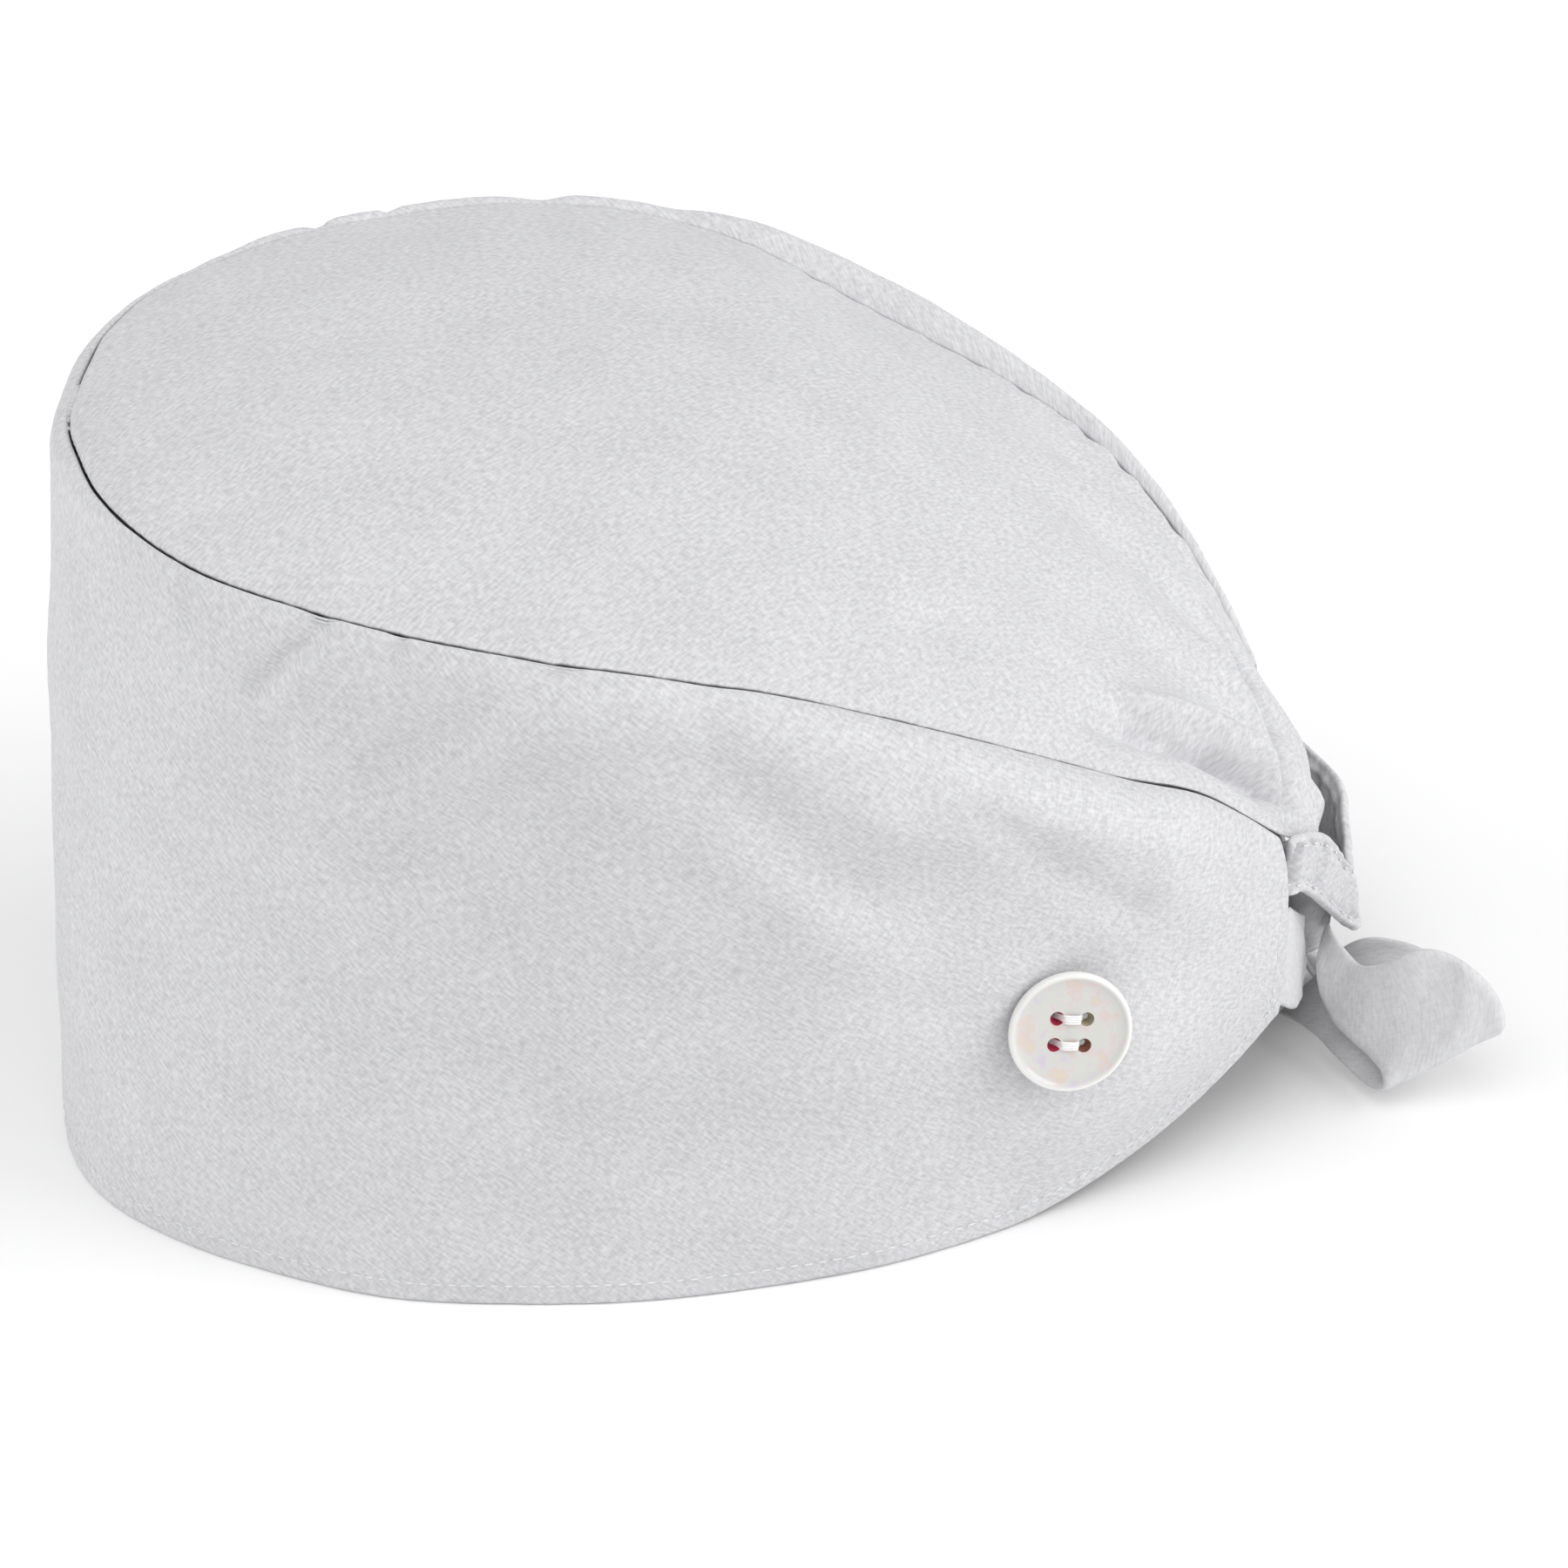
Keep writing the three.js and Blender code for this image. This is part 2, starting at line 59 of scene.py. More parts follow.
# From the forehead round to the free end: a point of the rim, a point of the seam, how far the
# cloth stands out past the seam, how far it swells up over it, and a point of the crown's middle.
sections = [
    ((0, -139, 0), (0, -122.3, 148.6), 4.1, 1.1, (0, -122.3, 148.6)),
    ((16.6, -136.4, 0), (13.8, -120.3, 149.3), 3.9, 1.0, (0, -120, 150.2)),
    ((30.5, -129.6, 0), (27, -117, 149.8), 3.2, 0.5, (0, -116, 152)),
    ((45, -116.2, 0), (41.5, -109.9, 149.6), 2.8, 0.2, (0, -108.5, 154)),
    ((58, -98.5, 0), (55, -98.6, 148), 3.0, 0.4, (0, -97, 155.5)),
    ((68.2, -79.5, 0), (66.4, -83.5, 146.7), 3.8, 1.0, (0, -82, 156.5)),
    ((73.8, -57, 0), (76.2, -63.5, 144), 4.2, 1.4, (0, -62, 155.5)),
    ((76.4, -34, 0), (82.7, -43.2, 141.2), 4.2, 1.3, (0, -41, 153)),
    ((75.5, -13, 0), (84.9, -21, 136.4), 4.8, 1.6, (0, -18, 148.5)),
    ((72.6, 7, 0), (82.6, 0.5, 129), 7.2, 3.0, (0, 4, 141)),
    ((68.4, 21, 0), (77.8, 16.2, 120.5), 9.0, 4.4, (0, 20, 132)),
    ((61.8, 36.5, 0.3), (73.1, 31.2, 111.9), 9.8, 5.4, (0, 36, 121)),
    ((53.9, 51.5, 3.4), (66.2, 46.4, 101.5), 9.8, 5.8, (0, 52, 107.5)),
    ((44.9, 66, 8.2), (56.5, 61.8, 89.2), 9.0, 5.3, (0, 68, 91)),
    ((36, 78.6, 14.4), (44, 74.6, 77), 6.6, 3.9, (0, 84, 71.5)),
    ((29.6, 87, 19.8), (30, 88.9, 58.2), 2.2, 1.2, (0, 98.8, 45.4)),
]

# Broad hollows and swells of the wall: half width, depth, and the line in the side view.
broad_folds = [
    (21, -3.2, ((-59, 106), (-46, 20))),
    (6, -1.3, ((-38, 133), (-71, 118))),
    (8, -1.7, ((-10, 124), (14, 88))),
    (10, 1.2, ((-13, 101), (16, 76))),
    (3.5, -0.9, ((-79, 143), (-90, 131))),
    (18, 6.5, ((48, 24), (56, 28))),
    (18, -2.6, ((30, 84), (50, 72))),
]

# Small folds that the seam and the ties pull into the cloth, given in the same way.
small_folds = [
    (1.9, -1.7, ((-77, 146), (-82, 140), (-91, 129))),
    (1.8, 1.0, ((-75, 143), (-81, 136), (-87, 126))),
    (1.3, -1.0, ((-101, 146), (-102, 139))),
    (1.3, -1.2, ((-64, 144), (-67, 139))),
    (4.0, -1.3, ((-36, 139), (-50, 132), (-63, 122), (-72, 113))),
    (3.6, 1.0, ((-35, 133), (-45, 125), (-51, 117))),
    (3.6, -0.8, ((-21, 122), (-32, 119), (-45, 117))),
    (6.0, -1.5, ((-52, 110), (-60, 100), (-72, 92))),
    (4.6, -0.8, ((-12, 132), (-11, 117), (-2, 103), (13, 85))),
    (4.6, 0.5, ((-15, 100), (-6, 91), (2, 83))),
    (4.2, -1.0, ((9, 116), (30, 106), (38, 95), (46, 83), (60, 66))),
    (4.6, 0.8, ((15, 104), (24, 97))),
    (5.0, 0.7, ((68, 69), (76, 52))),
    (2.2, 0.35, ((-82, 132), (-84, 111), (-86, 92), (-86, 72))),
    (2.8, -0.5, ((-86, 130), (-89, 110), (-91, 92))),
    (2.0, -0.7, ((-88, 68), (-81, 65), (-70, 70))),
    (5.0, -0.6, ((3, 71), (15, 62), (27, 56))),
    (3.0, 0.5, ((-70, 42), (-72, 8))),
    (3.5, -0.6, ((-100, 39), (-98, 32))),
    (0.9, -0.2, ((-24, 43), (-19, 44))),
    (0.9, -0.2, ((-25, 38), (-19, 38))),
    (4.6, -0.7, ((-102, 83), (-105, 67), (-106, 48))),
    (6.0, 0.6, ((-35, 62), (-26, 52))),
]


def smooth_line(points):
    """A smooth line through the points, as a function of a place from 0 to 1."""
    p = np.array(points, float)
    p = np.vstack([2 * p[0] - p[1], p, 2 * p[-1] - p[-2]])
    step = np.sqrt(np.linalg.norm(np.diff(p, axis=0), axis=1))

    def at(place):
        place = np.clip(np.asarray(place, float), 0, 1) * (len(p) - 3)
        i = np.minimum(place.astype(int), len(p) - 4)
        w = (place - i)[..., None]
        a, b, c, d = (p[i + k] for k in range(4))
        h0, h1, h2 = (step[i + k][..., None] for k in range(3))
        leave = ((b - a) / h0 - (c - a) / (h0 + h1) + (c - b) / h1) * h1
        reach = ((c - b) / h1 - (d - b) / (h1 + h2) + (d - c) / h2) * h1
        return b + leave * w + (3 * (c - b) - 2 * leave - reach) * w**2 + (2 * (b - c) + leave + reach) * w**3

    return at


def whole_line(left, right):
    """The line through points of both sides, given from the forehead, from the right end to the left."""
    left, right = np.array(left, float), np.array(right, float)
    return smooth_line(np.vstack([right[:0:-1], left]))


rims = np.array([row[0] for row in sections], float)
seams = np.array([row[1] for row in sections], float)
shoulders = np.array([row[2:4] for row in sections], float)
mirror = (-1, 1, 1)

# The wearer's right shoulder stands up and its seam lies near the edge at the back; the left one
# lies flat and falls in a longer round.
right_seams = seams.copy()
right_seams[12:15] += ((1.7, 0.9, 1.6), (2.8, 2.2, 2.9), (2.6, 2.5, 2.3))
right_shoulders = shoulders.copy()
right_shoulders[12:15] = ((7.8, 4.2), (5.4, 2.6), (3.0, 1.6))
left_shoulders = shoulders * (1, 0.03)
right_shoulders[:2] *= (1, 0.3)
left_shoulders[0] = right_shoulders[0]
left_shoulders[1] = shoulders[1] * (1, 0.15)
fall = np.interp(np.arange(len(sections)), (0, 3), (shoulder_drop, shoulder_drop + left_fall))
rim_line = whole_line(rims, rims * mirror)
seam_line = whole_line(seams, right_seams * mirror)
shoulder_line = whole_line(
    np.column_stack([left_shoulders, fall]), np.column_stack([right_shoulders, 0 * fall + shoulder_drop]),
)


def unit(a):
    """The same directions with a length of 1."""
    return a / np.maximum(np.linalg.norm(a, axis=-1, keepdims=True), 1e-12)


def seam_way(v):
    """The direction along the seam, toward the left end."""
    step = 1e-4
    return unit(seam_line(v + step) - seam_line(v - step))


def outward(v):
    """The level direction out of the cap at a place along the seam."""
    along = seam_way(v)
    return unit(np.stack([along[..., 1], -along[..., 0], np.zeros_like(along[..., 0])], -1))


def seam_inward(v):
    """The direction down through the cloth at the seam."""
    down = unit(np.cross(seam_way(v), outward(v)))
    return np.where(down[..., 2:] > 0, -down, down)


def near_line(distance, half_width):
    """1 on a line, and softly less to both sides of it."""
    return np.exp(-((distance / half_width) ** 2))


def fold_relief(places, folds):
    """How far folds lift or sink the cloth at each place; a fold follows a line of points."""
    relief = np.zeros(places.shape[:-1])
    for half_width, depth, line in folds:
        line = np.array(line, float)
        distance = np.full(relief.shape, np.inf)
        for start, end in zip(line, line[1:]):
            way = end - start
            share = np.clip((places - start) @ way / (way @ way), 0, 1)
            distance = np.minimum(distance, np.linalg.norm(places - start - share[..., None] * way, axis=-1))
        relief += depth * near_line(distance, half_width)
    return relief


def crumple(a, b, size, seed):
    """A soft unevenness with a height of about 1 and humps about one size apart."""
    rng = np.random.default_rng(seed)
    total = np.zeros(np.broadcast(a, b).shape)
    waves = 10
    for turn, phase, stretch in rng.uniform((0, 0, 0.7), (math.tau, math.tau, 1.5), (waves, 3)):
        across = a * math.cos(turn) + b * math.sin(turn)
        total += np.sin(math.tau * across / (size * stretch) + phase)
    return total / math.sqrt(waves)


def band_shoulder(v, angle):
    """The cloth's turn over the top, from its foot at angle 0 to the seam at a right angle."""
    roll, puff, drop = np.moveaxis(shoulder_line(v), -1, 0)
    point = seam_line(v) + outward(v) * (roll * np.cos(angle))[..., None]
    point[..., 2] += puff * np.sin(2 * angle) - drop * (1 - np.sin(angle))
    return point


def seam_turn(v, share):
    """The small round where the cloth turns down into the seam, from share 0 to 1."""
    roll, puff, _ = np.moveaxis(shoulder_line(v), -1, 0)
    slope = np.arctan(2 * puff / roll)
    last = np.arccos(seam_round * (1 - np.sin(slope)) / roll)
    start = band_shoulder(v, last)
    turn = slope + (math.pi / 2 - slope) * share
    inwards = seam_round * (np.sin(turn) - np.sin(slope))
    point = start - outward(v) * inwards[..., None]
    point[..., 2] += seam_round * (np.cos(turn) - np.cos(slope))
    return point, last


def band_wall(v, rise):
    """The outside of the wall, from the rim at rise 0 to the foot of the shoulder at rise 1."""
    rim = rim_line(v)
    rim[..., 2] = np.maximum(rim[..., 2], 0)
    place = rim + (band_shoulder(v, np.zeros_like(v)) - rim) * rise[..., None]
    slack = np.sin(math.pi * rise)
    bulge = wall_bulge + fold_relief(place[..., 1:], broad_folds)
    return place + outward(v) * (slack * bulge)[..., None]


def grid_normals(grid):
    """The direction square to a grid of points at each of them."""
    return unit(np.cross(np.gradient(grid, axis=1), np.gradient(grid, axis=0)))


def run_length(grid, axis):
    """How far each point of a grid lies along its row or column, over the cloth."""
    steps = np.linalg.norm(np.diff(grid, axis=axis), axis=-1)
    start = np.zeros_like(np.take(steps, [0], axis))
    return np.concatenate([start, np.cumsum(steps, axis)], axis)


def put(name, data):
    """A new object in the scene."""
    made = bpy.data.objects.new(name, data)
    bpy.context.scene.collection.objects.link(made)
    return made


def skin(name, outer, inner, places, material):
    """A closed piece of cloth between an outer and an inner grid. places lie on the cloth, in mm."""
    rows, columns = outer.shape[:2]
    a = (np.arange(rows - 1)[:, None] * columns + np.arange(columns - 1)).ravel()
    front = np.stack([a, a + 1, a + columns + 1, a + columns], -1)
    edge = np.concatenate([
        np.arange(columns - 1),
        np.arange(rows - 1) * columns + columns - 1,
        (rows - 1) * columns + np.arange(columns - 1, 0, -1),
        np.arange(rows - 1, 0, -1) * columns,
    ])
    ahead = np.roll(edge, -1)
    rim = np.stack([ahead, edge, edge + rows * columns, ahead + rows * columns], -1)
    faces = np.concatenate([front, front[:, ::-1] + rows * columns, rim])
    points = np.concatenate([outer.reshape(-1, 3), inner.reshape(-1, 3)])
    corner = points[faces]
    halves = np.cross(corner[:, 1], corner[:, 2]) + np.cross(corner[:, 2], corner[:, 3])
    if np.einsum("ij,ij->", corner[:, 0], halves) < 0:
        faces = faces[:, ::-1]
    mesh = bpy.data.meshes.new(name)
    mesh.from_pydata((points + (0, to_frame_y, 0)) * 0.001, [], faces)
    on_cloth = np.tile(places.reshape(-1, 2), (2, 1)) * 0.001
    layer = mesh.uv_layers.new(name="cloth")
    layer.data.foreach_set("uv", on_cloth[faces.ravel()].astype(np.float32).ravel())
    mesh.shade_smooth()
    mesh.materials.append(material)
    return put(name, mesh)


def linear(code):
    """A colour's sRGB hex code as linear red, green, blue and alpha."""
    shares = [int(code[k:k + 2], 16) / 255 for k in (1, 3, 5)]
    return tuple(c / 12.92 if c <= 0.04045 else ((c + 0.055) / 1.055) ** 2.4 for c in shares) + (1,)


def add(tree, kind, settings=None, **inputs):
    """Adds a node; each input, by name or as _0, _1 by place, gets a value or a link."""
    made = tree.nodes.new(kind)
    for name, value in (settings or {}).items():
        setattr(made, name, value)
    for name, value in inputs.items():
        socket = made.inputs[int(name[1:]) if name[0] == "_" else name.replace("_", " ")]
        if isinstance(value, bpy.types.NodeSocket):
            tree.links.new(value, socket)
        else:
            socket.default_value = value
    return made


def new_material(name):
    """An empty node material with its output."""
    material = bpy.data.materials.new(name)
    material.use_nodes = True
    material.node_tree.nodes.clear()
    return material, material.node_tree


def blend(tree, share, dark, light):
    """A node that mixes two colours by a share from another node."""
    return add(tree, "ShaderNodeMix", {"data_type": "RGBA"}, _0=share, _6=linear(dark), _7=linear(light))


def woven_cloth(name, light, dark, pitch, lift, rough):
    """Twill: short slanting ribs of warp yarn, weaker ones of weft the other way, and slubs."""
    material, tree = new_material(name)
    place = add(tree, "ShaderNodeUVMap", {"uv_map": "cloth"}).outputs[0]
    heights = []
    for turn in (math.radians(48), math.radians(-42)):
        laid = add(
            tree, "ShaderNodeMapping", {"vector_type": "TEXTURE"}, Vector=place, Rotation=(0, 0, turn),
            Scale=(pitch, 3.2 * pitch, 1),
        ).outputs[0]
        ribs = add(tree, "ShaderNodeTexNoise", {"noise_dimensions": "2D"}, Vector=laid, Scale=1.0, Detail=1.0)
        heights.append(ribs.outputs[0])
    rib, weft = heights
    height = add(tree, "ShaderNodeMath", {"operation": "MULTIPLY_ADD"}, _0=weft, _1=0.6, _2=rib).outputs[0]
    mottle_and_painted_highlight = add(tree, "ShaderNodeTexNoise", Vector=place, Scale=60.0, Detail=3.0).outputs[0]
    shade = add(tree, "ShaderNodeMath", {"operation": "MULTIPLY_ADD"}, _0=mottle_and_painted_highlight, _1=0.35, _2=height).outputs[0]
    mix = add(tree, "ShaderNodeMapRange", {"clamp": True}, Value=shade, From_Min=0.6, From_Max=1.35)
    colour = blend(tree, mix.outputs[0], dark, light)
    roughness = add(tree, "ShaderNodeMapRange", Value=rib, To_Min=rough - 0.06, To_Max=rough + 0.06)
    bump = add(tree, "ShaderNodeBump", Height=height, Strength=0.5, Distance=lift)
    shader = add(
        tree, "ShaderNodeBsdfPrincipled", Base_Color=colour.outputs[2], Roughness=roughness.outputs[0],
        Normal=bump.outputs[0], Sheen_Weight=0.12, Sheen_Roughness=0.6,
    )
    add(tree, "ShaderNodeOutputMaterial", Surface=shader.outputs[0])
    return material


# Pale grey cotton twill, piece dyed and washed: matt, with fine slanting ribs that barely show.
# The real ribs stand about 0.5 mm apart; they are drawn at 0.6 mm so that a render can hold them.
twill = woven_cloth("washed_cotton_twill", "#d6d6d8", "#b8b8bb", 0.0006, 0.00004, 0.86)

band_columns = 420
wall_rows = 74
shoulder_rows = 16
turn_rows = 6
hem_line = 4.4
rim_rises = (0, 0.002, 0.005, 0.01)
allowance_rows = (0.5, 1.5, 3, 5, seam_allowance)
button_seat = dict(along=0.773, height=47.8, turn=10, tilt=9, spin=-12.5)
button_level = 0.32
flat_round_button = 17
bound_width = 8
far_sag = 1.6
seam_pull = dict(depth=6, height=0.1, far_back=0.18)
hem_groove = dict(depth=0.22, half_width=0.55)
hem_roping = dict(height=0.09, half_width=2.6)

v = np.linspace(0, 1, band_columns + 1)
rise = np.concatenate([rim_rises, np.linspace(0.016, 1, wall_rows)])
wall_v, wall_rise = np.meshgrid(v, rise)
over_v, over_share = np.meshgrid(v, 1 - (1 - np.arange(1, shoulder_rows + 1) / shoulder_rows) ** 1.5)
turn_v, turn_share = np.meshgrid(v, np.arange(1, turn_rows + 1) / turn_rows)
turned, last_angle = seam_turn(turn_v, turn_share)
under = turned[-1] + seam_inward(v) * np.array(allowance_rows)[:, None, None]
band = np.concatenate([
    band_wall(wall_v, wall_rise), band_shoulder(over_v, over_share * last_angle[0]), turned, under,
])
band_out = grid_normals(band)
band_out *= np.sign(np.mean(np.sum(band_out[10] * outward(v), -1)))
above_hem = run_length(band, 0)
below_seam = above_hem[-1 - len(under)] - above_hem
half_way = run_length(band[40:41], 1)
round_cap = np.broadcast_to(half_way - half_way.max() / 2, above_hem.shape)
near_side = 1 / (1 + np.exp(-band[..., 0] / 12))

seat_place = band_wall(np.array([0.5 + button_seat["along"] / 2]), np.array([button_level]))[0]
from_button = np.hypot(band[..., 1] - seat_place[1], band[..., 2] - button_seat["height"])
calm = 1 - np.exp(-((from_button / flat_round_button) ** 4))
loose = 1 - near_line(np.minimum(np.abs(below_seam), above_hem), bound_width)
on_show = np.clip(below_seam / 3, 0, 1)

relief = fold_relief(band[..., 1:], small_folds)
# How uneven it is: height, size of the humps, seed of the pattern, how much more, and where.
uneven = (
    (0.3, 46, 3, 1 + far_sag * (1 - near_side), loose), (0.1, 17, 4, 1, loose), (0.03, 6, 5, 1, 1),
)
for height, size, seed, more, where in uneven:
    relief += height * more * where * crumple(round_cap, above_hem, size, seed)
relief *= calm
pull = np.exp(-below_seam / seam_pull["depth"])
at_back = np.clip((band[..., 1] + 10) / 60, 0, 1)
pull *= seam_pull["height"] + seam_pull["far_back"] * (1 - near_side) * at_back
relief += pull * crumple(round_cap + 0.3 * below_seam, 0 * round_cap, 8, 6)
relief -= hem_groove["depth"] * near_line(above_hem - hem_line, hem_groove["half_width"])
roping = hem_roping["height"] * near_line(above_hem - hem_line, hem_roping["half_width"])
relief += roping * crumple(round_cap + 0.7 * above_hem, 0 * round_cap, 5.5, 7)
relief *= on_show

to_end = np.minimum(run_length(band, 1), run_length(band[:, ::-1], 1)[:, ::-1])
bare_edge = np.minimum(above_hem, to_end)
thick = band_thick + (hem_thick - band_thick) / (1 + np.exp((bare_edge - hem_height) * 3)) * on_show
rounding = np.sqrt(1 - (1 - np.clip(bare_edge / fold_round, 0.02, 1)) ** 2)
middle = band + band_out * (relief - thick / 2)[..., None]
band_outer = middle + band_out * (thick * rounding / 2)[..., None]
band_inner = middle - band_out * (thick * rounding / 2)[..., None]
for layer in (band_outer, band_inner):
    layer[..., 2] = np.maximum(layer[..., 2], 0)

band_cloth = skin("band_cloth", band_outer, band_inner, np.stack([round_cap, above_hem], -1), twill)
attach(band_cloth, "root")
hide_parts("side_band")

# The crown is the slanting flat top, the same twill, one oval piece sewn edge to edge with the band.
# At the nape its cloth is drawn together, so it stands there in folds that run to the strap.
crown_rows = 260
crown_columns = 150
# How far the seam stands open, by the share of the way to the nape, on the left and on the right.
near_gap = ((0, 0.3, 0.55, 0.75, 0.95), (0.07, 0.08, 0.17, 0.32, 0.4))
far_gap = ((0, 0.03, 0.12, 0.2, 1), (0.1, 0.24, 0.24, 0.1, 0.07))
seam_breaks = dict(places=(0.36, 0.48), share=0.75, width=0.006)
nape_lip = dict(start=0.84, full=0.9, height=0.5)
gather = dict(count=4, depth=1.0, start=0.7, full=0.93)
spine_line = smooth_line([row[4] for row in sections])

# Folds of the gathered end: half width, depth, and the line over the crown, in plan. The deep one
# by the left seam is made of three that start one after another, so that it deepens toward the nape.
drawn_folds = [
    (3.0, -1.3, ((50, 54), (48, 58), (40, 67))),
    (1.6, -2.2, ((41, 65), (30.5, 78.5), (25, 84.5), (17, 90.5), (12, 94))),
    (1.6, -2.2, ((35, 73), (30.5, 78.5), (25, 84.5), (17, 90.5), (12, 94))),
    (1.6, -2.2, ((29.5, 79.5), (25, 84.5), (17, 90.5), (12, 94))),
    (3.6, -1.5, ((45, 60), (36, 69), (28, 78))),
    (2.4, 3.4, ((35.5, 64), (28, 72.5), (22, 80), (15, 87))),
    (1.5, -5.0, ((-24, 80), (-16, 86), (-9, 89), (4, 90), (9, 92))),
    (2.4, 1.8, ((-3, 80), (4, 86), (9, 89))),
    (3.0, -1.2, ((-44, 60), (-30, 74), (-18, 88))),
    (3.0, 0.8, ((-34, 58), (-24, 72), (-14, 84))),
    (1.0, -0.35, ((-60, 45), (-49, 65), (-44, 73), (-36, 81))),
    (5.0, -0.9, ((52, 26), (44, 35))),
    (7.0, -0.6, ((-7, -74), (-23, -39), (-34, -14), (-31, 7))),
]

u = 0.003 + (1 - 0.003) * np.linspace(0, 1, crown_rows + 1)
s = np.sin(math.pi / 2 * np.linspace(-1, 1, crown_columns + 1))
edge_v = 0.5 + np.sign(s) * u[:, None] / 2
edge = seam_line(edge_v)
spine = spine_line(u)[:, None]
crown = spine + (edge - spine) * np.stack([np.abs(s), s**2, s**2], -1)
open_seam = np.where(s > 0, np.interp(u, *near_gap)[:, None], np.interp(u, *far_gap)[:, None])
open_seam = open_seam * (1 + 0.25 * crumple(100 * u, 0 * u, 9, 15)[:, None])
for place in seam_breaks["places"]:
    open_seam *= 1 - seam_breaks["share"] * near_line(u - place, seam_breaks["width"])[:, None]
crown -= outward(edge_v) * (open_seam * np.abs(s) ** 12)[..., None]
lip = np.interp(u, (nape_lip["start"], nape_lip["full"]), (0, nape_lip["height"]))
crown[..., 2] += lip[:, None] * np.where(s > 0, np.abs(s) ** 6, 0)
share = np.clip((u - gather["start"]) / (gather["full"] - gather["start"]), 0, 1)
drawn = (share * share * (3 - 2 * share))[:, None]
crease = drawn * gather["depth"] * (1 - s**2) * np.cos(math.pi * gather["count"] * s)
crown += crease[..., None] * np.array([0, 0.6, 0.8])

crown_up = grid_normals(crown)
crown_up *= np.where(crown_up[..., 2:] < 0, -1, 1)
seam_points = seam_line(np.linspace(0, 1, 700))
from_seam = np.array([
    np.linalg.norm(row[:, None] - seam_points, axis=-1).min(axis=1) for row in crown
])
down_spine = np.interp(crown[..., 1], spine[:, 0, 1], run_length(spine, 0)[:, 0])
over_crown = np.stack([crown[..., 0], down_spine], -1)
fade = np.clip(from_seam / 10, 0, 1)
relief = fold_relief(crown[..., :2], drawn_folds) * (1 - np.exp(-from_seam / 4))
relief += 0.28 * fade * crumple(crown[..., 0], crown[..., 1], 44, 11)
relief += 0.12 * fade * crumple(crown[..., 0] * 0.5, crown[..., 1], 20, 12)
relief += 0.03 * crumple(crown[..., 0], crown[..., 1], 6, 13)
far_back = 0.22 / (1 + np.exp(crown[..., 0] / 10)) * np.clip(crown[..., 1] / 50, 0, 1)
far_edge = np.exp(-from_seam / 5) * (0.08 + far_back)
relief += far_edge * crumple(crown[..., 0] + crown[..., 1], crown[..., 1] * 0.6, 8, 14)
to_turn = seam_round - np.minimum(from_seam, seam_round)
crown_crease = seam_round - np.sqrt(seam_round**2 - to_turn**2)
crown_middle = crown + crown_up * (relief - crown_crease - band_thick / 2)[..., None]
to_rear = run_length(crown[::-1], 0)[::-1]
rounding = np.sqrt(1 - (1 - np.clip(to_rear / 0.7, 0.02, 1)) ** 2)
half = (band_thick * rounding / 2)[..., None]
crown_cloth = skin(
    "crown_cloth", crown_middle + crown_up * half, crown_middle - crown_up * half, over_crown, twill,
)
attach(crown_cloth, "root")
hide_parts("crown")

# The strap bridges the back opening: a narrow tube of the same twill, pressed flat and stitched
# along both edges, ruffled where the elastic inside it draws it up.
strap_thick = 1.9
strap_stitch_inset = 2.2
strap_ruffle = dict(height=0.25, near_end=0.9, fades_over=22)
strap_groove = dict(depth=0.3, half_width=0.5)
strap_rim = dict(height=0.35, half_width=0.8, inset=0.9)
strap_stations = [
    ((30.9, 90, 57.6), (30.7, 89.3, 45.6)),
    ((26, 93.4, 56), (26, 91.8, 43.4)),
    ((18, 97.4, 50.4), (18, 94.6, 36.6)),
    ((11, 100, 42.6), (11, 98, 28.6)),
    ((5, 101.8, 35.4), (5, 101.2, 21.6)),
    ((-1, 102.2, 32.6), (-1, 103.4, 17.4)),
    ((-8, 102.8, 36.6), (-8, 101, 22.6)),
    ((-15, 103, 40.6), (-15, 97.6, 28.8)),
    ((-23, 99.8, 41.6), (-23, 94.4, 33.4)),
    ((-30.2, 92, 46.6), (-30.2, 89.6, 38.4)),
]


def strip(stations, along, across):
    """The middle of a ribbon between two edge lines, with how far each point is along and across."""
    places = np.linspace(0, 1, along + 1)
    first, second = (smooth_line([pair[k] for pair in stations])(places) for k in (0, 1))
    share = np.linspace(0, 1, across + 1)
    grid = first[:, None] + (second - first)[:, None] * share[None, :, None]
    return grid, run_length(grid, 0), run_length(grid, 1)


def ribbon(name, grid, across, relief, thick, places, material):
    """A ribbon with rounded edges and ends round the middle grid, lifted by its relief."""
    normal = grid_normals(grid)
    along = run_length(grid, 0)
    edge_near = np.minimum(across, across[:, -1:] - across)
    end_near = np.minimum(along, along[-1:] - along)
    rounding = np.sqrt(1 - (1 - np.clip(np.minimum(edge_near, end_near) / (0.6 * thick), 0.03, 1)) ** 2)
    middle = grid + normal * relief[..., None]
    half = normal * (thick * rounding / 2)[..., None]
    return skin(name, middle + half, middle - half, places, material)


def edge_seams(grid, across, relief, thick, inset):
    """Lines along both edges of a ribbon, on its outer face, short of its ends."""
    face = grid + grid_normals(grid) * (relief + thick / 2 + 0.1)[..., None]
    lines = []
    for places in (np.full(len(across), inset), across[:, -1] - inset):
        line = [[np.interp(p, a, f[:, k]) for k in range(3)] for p, a, f in zip(places, across, face)]
        lines.append(np.array(line)[4:-4])
    return lines


